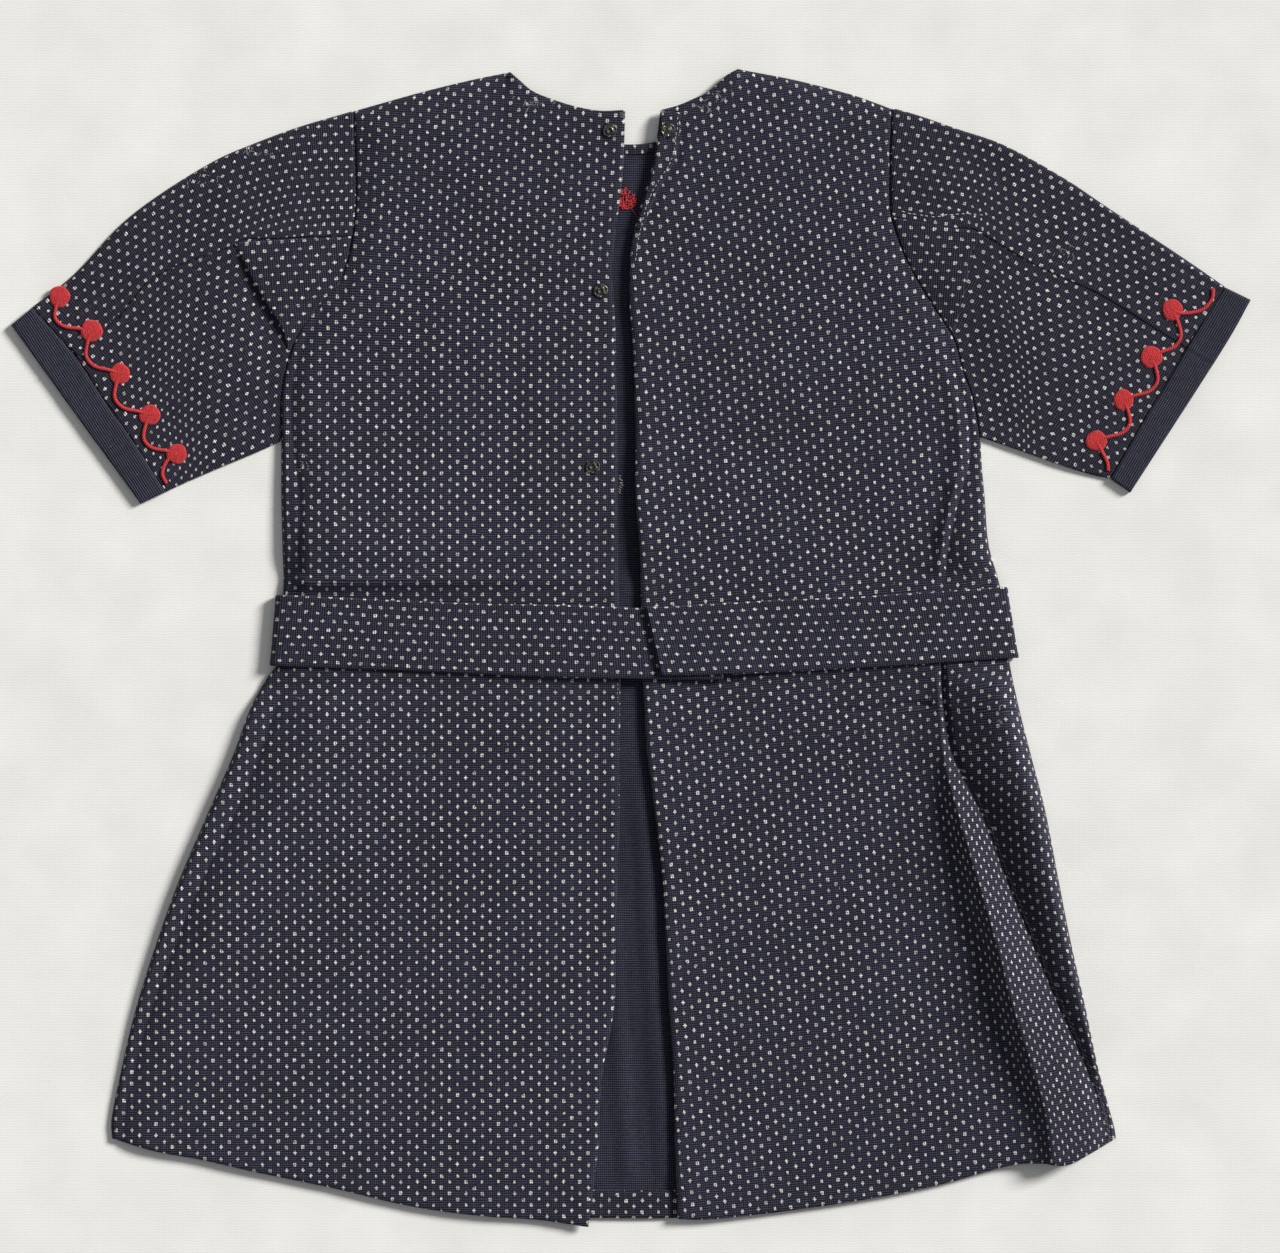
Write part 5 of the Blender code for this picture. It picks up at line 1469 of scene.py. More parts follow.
def turned_cuff(plan):
    """The cuff is a tube too. A cross seam shows on it as a ridge beside a fine groove."""
    outer_line = Line(plan.cut["cuff_outer"])
    away = outer_line(0.5) - plan.cuff_line(0.5)
    away /= np.linalg.norm(away)
    start, end = plan.cuff_line(SLEEVE_SHARES) + away * GAP, outer_line(SLEEVE_SHARES)
    share = CUFF_SHARES[:, None, None]
    grid = start[None] * (1 - share) + end[None] * share
    x, y = grid[..., 0], grid[..., 1]
    rounded = round_edge(np.minimum(CUFF_SHARES, 1 - CUFF_SHARES) / 0.09)[:, None]
    z = CUFF_TOP - CUFF_ROLL + CUFF_ROLL * rounded + 0.12 * ripples(x, y, 9.0, 41)
    seam_x, seam_y = plan.cut["cuff_seam"]
    beside = (x - seam_x) * -away[1] + (y - seam_y) * away[0]
    z = z + 0.30 * np.exp(-((beside - 1.3) / 1.2) ** 2) - 0.45 * np.exp(-(beside / 0.5) ** 2)
    spin = math.atan2(away[1], away[0]) - math.pi / 2
    return flat_tube(f"cloth_cuff_{plan.side}", grid, z, 0.0, CUFF_WALL, [cuff_cloth, face_cloth],
                     cloth_grain(x, y, z, spin))


# %% Both sleeves
sleeve_pieces, cuff_pieces = {}, {}
for side, top, tip in (("left", left_top, LEFT_SHOULDER[0]),
                       ("right", right_top, RIGHT_SHOULDER[-1])):
    plan = lay_out_sleeve(side, top, tip)
    sleeve_pieces[side] = [sleeve_tube(plan), cloth_above_seam(plan), sleeve_pleat(plan)]
    cuff_pieces[side] = turned_cuff(plan)
    print(side, "sleeve:", [len(p.data.polygons) for p in sleeve_pieces[side]], "faces")

# %% [markdown]
# ## The belt
#
# One strip of doubled cloth goes once round the dress: left half over the back, round the side,
# under the front, round the other side, and the right half last, so that its end lies on top.
# Its section is a flat loop with rounded edges, carried along that route. The belt was cut across
# the cloth, so its flecks run the other way from the dress's.

# %% The belt's route
BELT_HALF = 0.75       # half the belt's thickness, without its waves
BELT_ACROSS = np.concatenate([[0.0, 0.004, 0.012, 0.03, 0.06], np.linspace(0.1, 0.9, 15),
                              [0.94, 0.97, 0.988, 0.996, 1.0]])


def belt_level(x, lapped):
    """Height of the belt's underside across the back."""
    left, right = BELT_LEFT_UPPER[0][0], BELT_RIGHT_UPPER[-1][0]
    to_side = np.minimum(x - left, right - x)
    bump = BELT_CLOTH + GAP
    at_side = CLOTH + GAP + CLOTH + bump + GAP
    inside = BACK_REST + CLOTH + bump + GAP
    level = at_side + (inside - at_side) * smooth((to_side + 0.7 * SEAM_BAND) / SEAM_BAND)
    if lapped:
        level = level + (BELT_CLOTH + GAP) * (1 - smooth((x - 54.0) / 24.0))
    return level


def across_back(upper, lower, lapped):
    """Stations across the back: upper point, lower point, height of the middle, tilt."""
    shares = np.linspace(0, 1, 91)
    a, b = Line(upper)(shares), Line(lower)(shares)
    level = belt_level(0.5 * (a[:, 0] + b[:, 0]), lapped) + 0.5 * BELT_CLOTH
    return [(*p, *q, h, math.pi / 2) for p, q, h in zip(a, b, level)]


def round_side(upper, lower, level, hand):
    """Stations round one side, from the back down to the floor."""
    half = 0.5 * BELT_CLOTH
    radius = 0.5 * (level - half)
    found = []
    for k in range(1, 12):
        angle = math.pi / 2 - math.pi * k / 12
        shift = hand * radius * math.cos(angle)
        tilt = angle if hand > 0 else math.pi - angle
        found.append((upper[0] + shift, upper[1], lower[0] + shift, lower[1],
                      half + radius * (1 + math.sin(angle)), tilt))
    return found


left_ends = (BELT_LEFT_UPPER[0], BELT_LEFT_LOWER[0])
right_ends = (BELT_RIGHT_UPPER[-1], BELT_RIGHT_LOWER[-1])
left_half = across_back(BELT_LEFT_UPPER[::-1], BELT_LEFT_LOWER[::-1], False)
right_half = across_back(BELT_RIGHT_UPPER[::-1], BELT_RIGHT_LOWER[::-1], True)
round_left = round_side(*left_ends, left_half[-1][4], -1)
round_right = round_side(*right_ends, right_half[0][4], 1)[::-1]
under_front = []
for t in np.linspace(0, 1, 81):
    a, b = [np.array(left) * (1 - t) + np.array(right) * t
            for left, right in zip(left_ends, right_ends)]
    under_front.append((*a, *b, 0.5 * BELT_CLOTH, -math.pi / 2))
stations = np.array(left_half + round_left + under_front + round_right + right_half)
print("the belt's route has", len(stations), "stations")

# %% Belt
level, tilt = stations[:, 4], stations[:, 5]
upper = np.stack([stations[:, 0], stations[:, 1], level], 1)
lower = np.stack([stations[:, 2], stations[:, 3], level], 1)
out = np.stack([np.cos(tilt), 0 * tilt, np.sin(tilt)], 1)
middle = 0.5 * (upper + lower)
far = np.concatenate([[0.0], np.cumsum(np.linalg.norm(np.diff(middle, axis=0), axis=1))])
width = np.linalg.norm(upper - lower, axis=1)
s = BELT_ACROSS[None, :]
from_edge = np.minimum(s, 1 - s) * width[:, None]
profile = BELT_HALF * round_edge(from_edge)
seam_ridge = 0.20 * np.exp(-((from_edge - 1.6) / 1.1) ** 2)

# the end is turned in, so it is thicker there
to_end = far[-1] - far
end_fold = 0.45 * (1 - smooth((to_end - 3.6) / 1.2)) + 0.22 * np.exp(-((to_end - 1.2) / 0.9) ** 2)
end_fold = end_fold[:, None] * smooth(from_edge)
wave = 0.16 * ripples(far[:, None] + 0 * s, from_edge + 60 * s, 26.0, 51)
wave = wave + 0.10 * ripples(far[:, None] + 0 * s, 40 * s, 9.0, 52)
on_top = smooth(2 + 2 * np.sin(tilt))[:, None]
lift = (wave * smooth(from_edge / 2.0) + seam_ridge) * on_top
line = upper[:, None] * (1 - s[..., None]) + lower[:, None] * s[..., None]
face = line + out[:, None] * (profile + lift + end_fold)[..., None]
back = line - out[:, None] * profile[..., None]
ring = np.concatenate([face, back[:, ::-1][:, 1:-1]], 1)
v_line = np.concatenate([s * width[:, None], (2 - s[:, ::-1][:, 1:-1]) * width[:, None]], 1)
uv = np.stack([v_line, far[:, None] + 0 * v_line], -1)
count, size = ring.shape[:2]
index = np.arange(count * size).reshape(count, size)
a, b = index[:-1], np.roll(index, -1, axis=1)[:-1]
c, d = np.roll(index, -1, axis=1)[1:], index[1:]
faces = np.stack([a, d, c, b], -1).reshape(-1, 4).tolist()

# both ends are closed: each point of the upper side with the one beneath it
last = len(BELT_ACROSS) - 1
for end in (0, count - 1):
    row = index[end]
    for i in range(last):
        beneath = [row[size - k] if 0 < k < last else row[k] for k in (i + 1, i)]
        cap = list(dict.fromkeys(int(p) for p in (row[i], row[i + 1], *beneath)))
        faces.append(cap[::-1] if end else cap)
belt = finish_mesh("cloth_belt", ring.reshape(-1, 3), faces, uv.reshape(-1, 2), [0] * len(faces),
                   [face_cloth])
print("cloth_belt:", len(belt.data.polygons), "faces,", round(float(far[-1])), "mm long")

# %% [markdown]
# ## Finding the cloth beneath
#
# Stitches, studs and embroidery lie on the cloth wherever it happens to be. A ray sent straight
# down on the finished pieces gives the height there, so nothing floats or sinks when a fold
# changes.


# %% Height of finished cloth
def lying_on(*sheets):
    """A function that gives the highest point of some pieces at a plan point."""
    trees = [BVHTree.FromPolygons([v.co.copy() for v in sheet.data.vertices],
                                  [tuple(p.vertices) for p in sheet.data.polygons])
             for sheet in sheets]

    def ground(x, y):
        above, down = Vector((x * MM, y * MM, 0.2)), Vector((0, 0, -1))
        hits = [tree.ray_cast(above, down)[0] for tree in trees]
        return max([hit.z / MM for hit in hits if hit] or [0.0])

    return ground


on_right, on_left = lying_on(back_right), lying_on(back_left)
on_front, on_corner = lying_on(front), lying_on(turned_corner, back_right)
on_sleeve = {side: lying_on(*sleeve_pieces[side]) for side in sleeve_pieces}
print("the right back's middle lies", round(on_right(90, 100), 2), "mm above the floor")

# %% [markdown]
# ## Threads
#
# A thread is a tube drawn along a line of points. Many threads are gathered into one piece, since
# a row of stitches is one thing to a maker. Tapered ends let each stitch dive into the cloth.


# %% Thread helper
class Threads:
    """Thin tubes gathered into one piece."""

    def __init__(self):
        self.points, self.faces, self.uvs = [], [], []

    def add(self, path, radius, sides=6):
        """One tube along a path, tapered at both ends."""
        path = np.asarray(path, float)
        tangent = np.gradient(path, axis=0)
        tangent /= np.maximum(np.linalg.norm(tangent, axis=1), 1e-9)[:, None]
        beside = np.cross(tangent, (0.0, 0.0, 1.0))
        beside /= np.maximum(np.linalg.norm(beside, axis=1), 1e-9)[:, None]
        over = np.cross(beside, tangent)
        along = np.concatenate([[0.0], np.cumsum(np.linalg.norm(np.diff(path, axis=0), axis=1))])
        ends = np.clip(np.minimum(along, along[-1] - along) / radius, 0.06, 1.0)
        size = radius * round_edge(ends)
        spin = 2 * math.pi * np.arange(sides) / sides
        around = np.cos(spin)[:, None] * beside[:, None] + np.sin(spin)[:, None] * over[:, None]
        ring = path[:, None] + size[:, None, None] * around
        first = len(self.points)
        self.points += ring.reshape(-1, 3).tolist()
        turned = np.arange(sides) / sides * 2 * math.pi * radius
        self.uvs += [(u, v) for v in along for u in turned]
        self.wrap(first, len(path), sides)

    def wrap(self, first, rows, sides, flip=False):
        """Faces between the rings of a tube, and its two ends."""
        for j in range(rows - 1):
            p, q = first + j * sides, first + (j + 1) * sides
            for i in range(sides):
                k = (i + 1) % sides
                self.faces.append((p + i, q + i, q + k, p + k) if flip
                                  else (p + i, p + k, q + k, q + i))
        self.faces.append(tuple(range(first, first + sides)[::1 if flip else -1]))
        self.faces.append(tuple(range(q, q + sides)[::-1 if flip else 1]))

    def build(self, name, material):
        """All the tubes as one piece."""
        slots = [0] * len(self.faces)
        return finish_mesh(name, self.points, self.faces, self.uvs, slots, [material])


STITCH_LIFT = 0.1
STITCH_WOBBLE = 0.25   # how far a stitch may lie off its line


def stitches(line, ground, pitch, length, radius, seed):
    """A running stitch along a line."""
    threads, dice = Threads(), np.random.RandomState(seed)
    arch = radius * 0.9 * np.sin(np.linspace(0, math.pi, 6)) - 0.15
    for k in range(int(line.length / pitch)):
        middle = (k + 0.5) * pitch + dice.uniform(-0.1, 0.1) * pitch
        size = length * dice.uniform(0.8, 1.15)
        spots = line((middle + size * np.linspace(-0.5, 0.5, 6)) / line.length)[:, :2]
        spots = spots + dice.uniform(-STITCH_WOBBLE, STITCH_WOBBLE, 2)
        threads.add([(x, y, ground(x, y) + STITCH_LIFT + a) for (x, y), a in zip(spots, arch)],
                    radius)
    return threads


print("thread helpers are ready")

# %% [markdown]
# ## Embroidery
#
# Along each cuff run round dots on scalloped stems, worked in red cotton with a chain of close
# stitches: each dot is one cord coiled from the middle outwards, which is why its face looks
# like felt with fine rings, and each stem is a cord too. The dot's ring by ring height is built
# into its mesh.

# %% Embroidery tables
LEFT_DOTS = [(-321.1, 197.4), (-303.1, 178.2), (-287.3, 154.1), (-270.5, 131.0), (-255.3, 109.1)]
RIGHT_DOTS = [(304.2, 190.1), (292.4, 163.6), (276.7, 139.5), (261.5, 116.4)]
STEM_SWING = [(0.10, 4.0), (0.34, 10.2), (0.60, 9.6), (0.82, 4.0)]
LEFT_LAST_STEM = [(-260.9, 105.2), (-263.4, 98.0), (-261.0, 92.4)]
RIGHT_LAST_STEM = [(264.8, 110.2), (267.6, 104.5), (268.2, 99.4)]
RIGHT_FIRST_STEM = [(310.0, 188.0), (320.5, 189.9), (326.4, 196.1), (327.2, 202.4)]
DOT_RADIUS = 6.0
DOT_HEIGHT = 1.15
COIL = 0.95            # distance between the turns of a dot's cord
CORD_RADIUS = 0.62
CORD_PITCH = 2.6


def coiled_dot(store, centre, ground, seed):
    """A cushion with the turns of a coiled cord on it."""
    dice = np.random.RandomState(seed)
    squeeze = dice.uniform(0.95, 1.04, 2)
    radii = np.concatenate([np.arange(0.16, DOT_RADIUS, 0.17), [DOT_RADIUS, DOT_RADIUS + 0.12]])
    spin = np.linspace(0, 2 * math.pi, 96, endpoint=False)
    r, t = np.meshgrid(radii, spin, indexing="ij")
    wobble = 1 + 0.025 * np.sin(3 * t + seed) + 0.02 * np.sin(5 * t + 2 * seed)
    px = centre[0] + r * wobble * squeeze[0] * np.cos(t)
    py = centre[1] + r * wobble * squeeze[1] * np.sin(t)
    base = ground(*centre)
    turns = (r / COIL - t / (2 * math.pi)) % 1.0
    groove = np.abs(np.sin(math.pi * turns)) ** 0.7
    share = r / DOT_RADIUS
    crown = DOT_HEIGHT * (1 - 0.35 * np.clip(share, 0, 1) ** 2)
    edge = np.sqrt(np.clip(1 - np.clip((share - 0.86) / 0.14, 0, 1) ** 2, 0, 1))
    fuzz = 0.10 * ripples(px, py, 0.8, seed) + 0.06 * ripples(px, py, 2.2, seed + 3)
    pz = base - 0.25 + (crown + 0.30 * groove + fuzz) * edge
    pz[-1] = base - 0.5
    first = len(store.points)
    store.points += np.stack([px, py, pz], -1).reshape(-1, 3).tolist()
    store.uvs += np.stack([turns * COIL, t * r], -1).reshape(-1, 2).tolist()
    store.wrap(first, *px.shape, flip=True)


def cord(store, route, ground):
    """Two strands twisted round each other along a route."""
    line = Line(route)
    count = max(int(line.length / 0.35), 8)
    spots = line(np.linspace(0, 1, count))
    tangent = np.gradient(spots, axis=0)
    tangent /= np.linalg.norm(tangent, axis=1)[:, None]
    beside = np.stack([tangent[:, 1], -tangent[:, 0]], 1)
    height = np.array([ground(*p) for p in spots])
    height = np.convolve(np.pad(height, 4, mode="edge"), np.ones(9) / 9, mode="valid")
    far = np.linspace(0, line.length, count)
    for phase in (0.0, math.pi):
        turn_angle = 2 * math.pi * far / CORD_PITCH + phase
        side = 0.46 * np.cos(turn_angle)
        up = 0.42 + 0.22 * np.sin(turn_angle)
        path = np.column_stack([spots + beside * side[:, None], height + up])
        store.add(path, CORD_RADIUS, 8)


def stem_route(start, end, outward):
    """From one dot to the next, swinging out towards the cuff."""
    start, end = np.array(start), np.array(end)
    unit = (end - start) / np.linalg.norm(end - start)
    route = [start + unit]
    route += [start * (1 - share) + end * share + outward * far for share, far in STEM_SWING]
    return route + [end]


embroidery = {}
LOOSE_STEMS = {"left": [(4, LEFT_LAST_STEM)],
               "right": [(3, RIGHT_LAST_STEM), (0, RIGHT_FIRST_STEM)]}
for side, dots in (("left", LEFT_DOTS), ("right", RIGHT_DOTS)):
    cut = SLEEVES[side]
    outward = Line(cut["cuff_outer"])(0.5) - Line(cut["cuff_inner"])(0.5)
    outward /= np.linalg.norm(outward)
    red = Threads()
    for k, dot in enumerate(dots):
        coiled_dot(red, dot, on_sleeve[side], 7 + k)
    for a, b in zip(dots, dots[1:]):
        cord(red, stem_route(a, b, outward), on_sleeve[side])
    for k, points in LOOSE_STEMS[side]:
        cord(red, [dots[k]] + points, on_sleeve[side])
    embroidery[side] = red.build(f"embroidery_red_{side}", red_thread)
    print(side, "embroidery:", len(red.faces), "faces")

# %% [markdown]
# The front's embroidery shows from behind at one place inside the neck: a round knot of loops
# where the thread was carried from stitch to stitch, with a loose tail.

# %% Reverse of the front's dot
FRONT_DOT = (-2.6, 251.9)
loops, dice = Threads(), np.random.RandomState(77)
for k in range(46):
    reach, angle = DOT_RADIUS * math.sqrt(dice.uniform(0.0, 0.9)), dice.uniform(0, 2 * math.pi)
    cx, cy = FRONT_DOT[0] + reach * math.cos(angle), FRONT_DOT[1] + reach * math.sin(angle)
    size, tilt = dice.uniform(0.9, 2.0), dice.uniform(0, math.pi)
    arc = np.linspace(0, dice.uniform(3.4, 5.6), 12)
    lx = cx + size * (np.cos(arc) * math.cos(tilt) - 0.5 * np.sin(arc) * math.sin(tilt))
    ly = cy + size * (np.cos(arc) * math.sin(tilt) + 0.5 * np.sin(arc) * math.cos(tilt))
    base = on_front(cx, cy)
    loops.add(np.column_stack([lx, ly, base + 0.15 + 0.35 * np.sin(arc * 0.8) ** 2 + 0 * lx]), 0.24)
tail = Line([(-0.5, 247.6), (1.2, 245.4), (2.6, 243.6), (3.4, 241.8)])(np.linspace(0, 1, 14))
loops.add([(x, y, on_front(x, y) + 0.35) for x, y in tail], 0.22)
front_reverse = loops.build("embroidery_front_reverse_loops", red_thread)
print("loops:", len(loops.faces), "faces")

# %% [markdown]
# ## Press studs
#
# A sewn-on press stud is a stamped ring with four slots for the thread and a raised middle: a
# socket on one side, a ball on the other. The profile is spun round, the slots are sunk into the
# flange, and navy thread crosses each slot.

# %% Press studs
# profiles: distance from the middle, height
SOCKET = [(0.0, 0.55), (0.7, 0.55), (0.95, 0.75), (1.15, 1.35), (1.4, 1.55), (1.75, 1.5),
          (2.05, 1.2), (2.25, 0.75), (2.6, 0.62), (3.1, 0.62), (3.45, 0.72), (3.75, 0.70),
          (3.95, 0.5), (4.0, 0.25), (3.95, 0.0), (0.0, 0.0)]
BALL = [(0.0, 1.8), (0.35, 1.76), (0.7, 1.55), (0.9, 1.2), (0.92, 0.85), (1.3, 0.66), (2.0, 0.62),
        (2.6, 0.62), (3.1, 0.62), (3.45, 0.72), (3.75, 0.70), (3.95, 0.5), (4.0, 0.25),
        (3.95, 0.0), (0.0, 0.0)]
STUD_SIDES = 64
STUD_TURNED = 0.4      # where its first slot points, in radians


def press_stud(name, profile, centre, base, facing):
    """A spun profile with four sewing slots. facing is -1 for a stud under the cloth."""
    points, faces, rows = [], [], []
    for radius, height in profile:
        if radius == 0.0:
            rows.append([len(points)] * STUD_SIDES)
            points.append((centre[0], centre[1], base + facing * height))
            continue
        rows.append(list(range(len(points), len(points) + STUD_SIDES)))
        for k in range(STUD_SIDES):
            angle = 2 * math.pi * k / STUD_SIDES
            off = (angle - STUD_TURNED) % (math.pi / 2)
            in_slot = 2.5 < radius < 3.2 and min(off, math.pi / 2 - off) < 0.34
            slot_depth = 0.5 if in_slot else 0.0
            points.append((centre[0] + radius * math.cos(angle),
                           centre[1] + radius * math.sin(angle),
                           base + facing * (height - slot_depth)))
    for upper_row, lower_row in zip(rows, rows[1:]):
        for k in range(STUD_SIDES):
            n = (k + 1) % STUD_SIDES
            face = list(dict.fromkeys((upper_row[k], lower_row[k], lower_row[n], upper_row[n])))
            if len(face) > 2:
                faces.append(face if facing > 0 else face[::-1])
    uvs = [(p[0], p[1]) for p in points]
    return finish_mesh(name, points, faces, uvs, [0] * len(faces), [stud_metal])


def stud_threads(store, centre, base, facing):
    """Thread over the rim of a stud at its four slots."""
    reach = np.array([2.6, 2.9, 3.4, 3.8, 4.15, 4.35])
    rise = np.array([0.3, 0.66, 0.95, 0.92, 0.45, -0.1])
    for k in range(4):
        for shift in (-0.16, 0.0, 0.16):
            angle = STUD_TURNED + k * math.pi / 2 + shift
            store.add(np.column_stack([centre[0] + reach * math.cos(angle),
                                       centre[1] + reach * math.sin(angle),
                                       base + facing * rise]), 0.14)


print("points in the studs' profiles:", len(SOCKET), "and", len(BALL))

# %% Sewing on the studs
LEFT_STUDS = [(-11.8, 290.7), (-16.9, 200.7), (-21.4, 101.8)]
CORNER_STUD = (20.9, 290.9)
HIDDEN_STUDS = [(7.6, 200.7), (9.6, 101.8)]
AROUND_STUD = ((0, 0), (3, 0), (-3, 0), (0, 3), (0, -3))


def highest(ground, centre, places):
    """The highest cloth at some places round a stud's middle."""
    return max(ground(centre[0] + dx, centre[1] + dy) for dx, dy in places)


studs, sewing = [], Threads()
for k, centre in enumerate(LEFT_STUDS, 1):
    base = highest(on_left, centre, AROUND_STUD)
    studs.append((f"press_stud_socket_{k}", SOCKET, centre, base + 0.05, 1.0, f"stud_socket_{k}"))
base = highest(on_corner, CORNER_STUD, AROUND_STUD[:4])
studs.append(("press_stud_ball_1", BALL, CORNER_STUD, base + 0.05, 1.0, "stud_ball_1"))
for k, centre in enumerate(HIDDEN_STUDS, 2):
    base = min(on_right(centre[0] + dx, centre[1]) for dx in (-3, 0, 3)) - SHEET_THICKNESS
    studs.append((f"press_stud_ball_{k}", BALL, centre, base - 0.1, -1.0, f"stud_ball_{k}"))
stud_pieces = []
for name, profile, centre, base, facing, node in studs:
    piece = press_stud(name, profile, centre, base, facing)
    stud_threads(sewing, centre, base, facing)
    stud_pieces.append((piece, node))
stud_sewing = sewing.build("thread_of_studs", dark_thread)
print("studs:", ", ".join(piece.name for piece, node in stud_pieces))

# %% [markdown]
# ## Stitches, worn threads and lint
#
# Small sewn details tell the age of the dress: pale dashes along the right sleeve's lapped seam,
# a running stitch on the turned corner's free edge, a tack inside the front, frayed corners at the
# neck, and thin pale fibres where the cloth has rubbed. A row of black thread along the left
# sleeve's lapped seam is painted shadow: it draws the dark line of that seam's shadow.

# %% Sewn lines
SEWN_LINES = [
    # name, ground, pitch, length, radius, material, seed, points
    ("thread_sleeve_right_pale", on_sleeve["right"], 3.4, 2.0, 0.26, pale_thread, 3,
     [(151.3, 245.7), (158.0, 244.0), (170.4, 242.4), (178.2, 243.5), (189.5, 244.0),
      (200.7, 242.9)]),
    # painted shadow: black thread along the left sleeve's lapped seam, where the seam's shadow
    # falls
    ("thread_sleeve_left_seam_painted_shadow", on_sleeve["left"], 4.6, 4.5, 0.42, seam_shadow_thread, 6,
     [(-227.4, 224.0), (-243.0, 218.8), (-259.0, 213.0), (-272.6, 204.2), (-280.2, 194.8),
      (-287.4, 185.2)]),
    ("thread_corner_edge", on_corner, 2.9, 1.7, 0.22, pale_thread, 4,
     [(25.9, 299.0), (25.6, 289.6), (22.8, 274.4), (16.2, 263.7), (11.2, 254.6), (7.8, 245.0),
      (3.9, 228.3), (2.4, 214.0)]),
    ("thread_slit_left_edge", on_left, 2.4, 1.1, 0.14, pale_thread, 5,
     [(-7.3, -19.5), (-7.6, -26.0), (-7.4, -32.0)]),
]
sewn = {}
for name, ground, pitch, length, radius, material, seed, points in SEWN_LINES:
    row = stitches(Line(points), ground, pitch, length, radius, seed)
    sewn[name] = row.build(name, material)
tack = Threads()
dice = np.random.RandomState(19)
for k in range(9):
    start_x, start_y = -7.2 + dice.uniform(0, 1.2), 96.4 - 0.95 * k + dice.uniform(-0.4, 0.4)
    reach, drop = dice.uniform(1.2, 2.9), dice.uniform(-0.4, 1.9)
    ends = np.linspace(0, 1, 7)
    path = [(start_x + reach * e, start_y - drop * e) for e in ends]
    tack.add([(x, y, on_front(x, y) + 0.12 + 0.25 * math.sin(math.pi * e))
              for (x, y), e in zip(path, ends)], dice.uniform(0.12, 0.2))
sewn["thread_tack_inside_front"] = tack.build("thread_tack_inside_front", pale_thread)
print("sewn lines:", ", ".join(sewn))

# %% Worn fibres
WORN_SPOTS = [
    # ground, middle x, middle y, spread x, spread y, number, length
    (on_left, -54.0, 307.0, 16.0, 7.0, 26, 3.0),
    (on_right, 46.0, 306.0, 13.0, 6.0, 22, 3.0),
    (on_left, -184.0, 103.0, 4.0, 8.0, 12, 2.2),
    (on_left, -3.9, 299.4, 1.2, 1.6, 9, 2.6),
    (on_right, 17.6, 300.6, 1.2, 1.6, 9, 2.6),
    (on_sleeve["left"], -214.0, 279.0, 14.0, 4.0, 16, 2.6),
    (on_sleeve["left"], -244.0, 263.0, 18.0, 7.0, 16, 2.6),
    (on_sleeve["right"], 243.0, 222.0, 12.0, 6.0, 12, 2.6),
    (on_left, -100.0, -60.0, 70.0, 180.0, 26, 2.2),
    (on_right, 110.0, -60.0, 80.0, 180.0, 26, 2.2),
    (on_right, 207.0, -41.0, 3.0, 6.0, 8, 2.4),
]
fibres, dice = Threads(), np.random.RandomState(5)
for ground, mx, my, wide, tall, number, length in WORN_SPOTS:
    for _ in range(number):
        x, y = dice.normal(mx, 0.5 * wide), dice.normal(my, 0.5 * tall)
        heading, bend = dice.uniform(0, math.pi), dice.uniform(-0.9, 0.9)
        size = length * dice.uniform(0.5, 1.4)
        arc = np.linspace(-0.5, 0.5, 6)
        px = x + size * arc * np.cos(heading + bend * arc)
        py = y + size * arc * np.sin(heading + bend * arc)
        heights = [ground(a, b) for a, b in zip(px, py)]
        if min(heights) > 1.0:
            fibres.add(np.column_stack([px, py, np.array(heights) + 0.07]), 0.09, 5)
worn_fibres = fibres.build("thread_worn_fibres", pale_thread)
print("worn fibres:", len(fibres.faces), "faces")
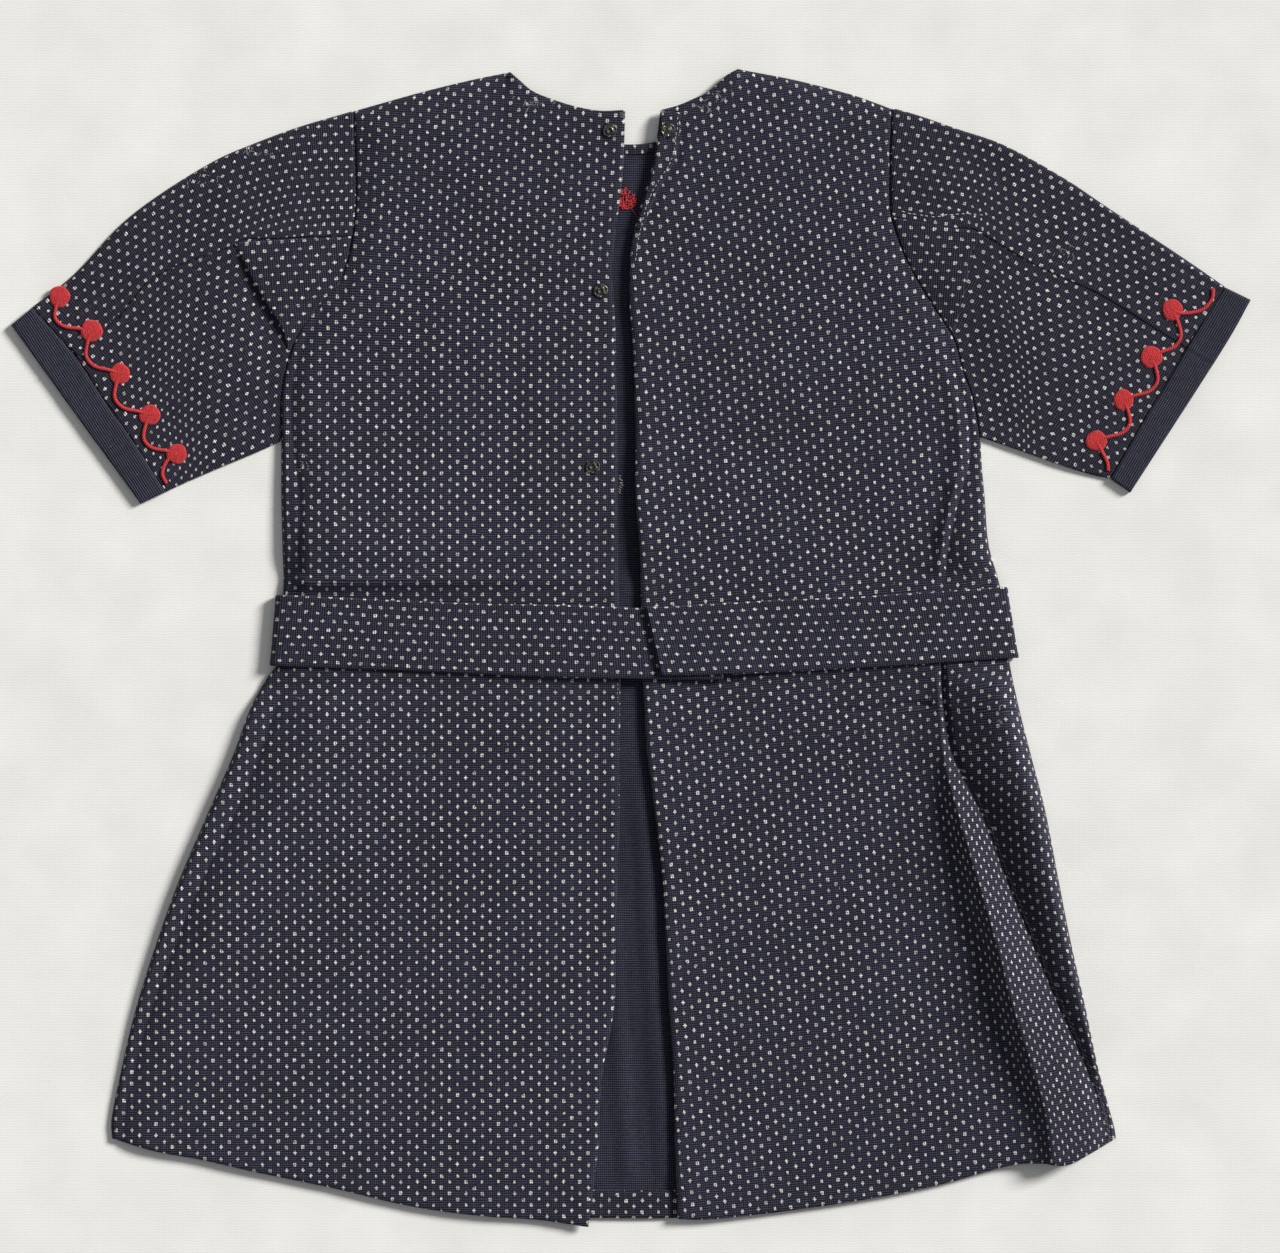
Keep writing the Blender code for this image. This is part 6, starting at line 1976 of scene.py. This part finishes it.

# %% [markdown]
# ## Attaching the pieces
#
# Every piece rides on the one body of the CAD model and stands for the solid that it dresses,
# which is hidden. A table gives the size each sheet of cloth was cut to before it was sewn, and
# each sheet's made area is printed beside its cut area.

# %% Rides and replaced solids
DRESSED = [
    (front, "front", "cloth"), (neck_turning, "front_neck_turning", "cloth"),
    (hem_turning, "front_hem_turning", "cloth"), (back_left, "back_left", "cloth"),
    (back_right, "back_right", "cloth"), (turned_corner, "back_right_turned_corner", "cloth"),
    (belt, "belt", "cloth"), (front_reverse, "embroidery_front_reverse", "embroidery"),
]
for side in ("left", "right"):
    DRESSED += [(piece, f"sleeve_{side}", "cloth") for piece in sleeve_pieces[side]]
    DRESSED += [(cuff_pieces[side], f"cuff_{side}", "cloth_reverse"),
                (embroidery[side], f"embroidery_{side}", "embroidery")]
DRESSED += [(piece, node, "stud") for piece, node in stud_pieces]
for piece, node, slot_name in DRESSED:
    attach(piece, "root")
    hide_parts(node)
for piece in [*sewn.values(), worn_fibres, stud_sewing]:
    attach(piece, "root")
print("pieces on the body:", len(DRESSED) + len(sewn) + 2)


# %% Sheets of cloth
BELT_STRIP = 0.0410    # width of the belt's doubled strip, in metres
right_sheets, left_sheets = sleeve_pieces["right"], sleeve_pieces["left"]
SHEETS = [
    # piece, flat width, flat length, flat area, what it lies on, what goes with it
    (front, 0.580, 0.660, 0.262, ["floor"],
     [neck_turning, front_reverse, sewn["thread_tack_inside_front"]]),
    (hem_turning, 0.520, 0.016, 0.0082, [front], []),
    (back_left, 0.300, 0.655, 0.134, [front], [sewn["thread_slit_left_edge"]]),
    (back_right, 0.310, 0.655, 0.138, [front], [turned_corner, sewn["thread_corner_edge"]]),
    (belt, BELT_STRIP, 0.876, None, [back_left, back_right], []),
    (left_sheets[0], 0.380, 0.190, 0.0440, ["floor"],
     [embroidery["left"], sewn["thread_sleeve_left_seam_painted_shadow"]]),
    (right_sheets[0], 0.380, 0.190, 0.0450, ["floor"], [embroidery["right"]]),
    (left_sheets[1], 0.215, 0.082, 0.0092, [left_sheets[0]], []),
    (right_sheets[1], 0.215, 0.082, 0.0100, [right_sheets[0]],
     [sewn["thread_sleeve_right_pale"]]),
    (left_sheets[2], 0.072, 0.050, 0.0023, [left_sheets[0]], []),
    (right_sheets[2], 0.066, 0.042, 0.0017, [right_sheets[0]], []),
    (cuff_pieces["left"], 0.252, 0.0195, 0.0047, ["floor"], []),
    (cuff_pieces["right"], 0.252, 0.0185, 0.0045, ["floor"], []),
]
for piece, flat_width, flat_length, flat_area, beneath, with_it in SHEETS:
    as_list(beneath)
    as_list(with_it)
    made_area = 0.5 * sum(p.area for p in piece.data.polygons)
    cut_area = flat_area or flat_width * flat_length
    print(piece.name, "has", round(made_area, 4), "m2 of cloth, cut", round(cut_area, 4))
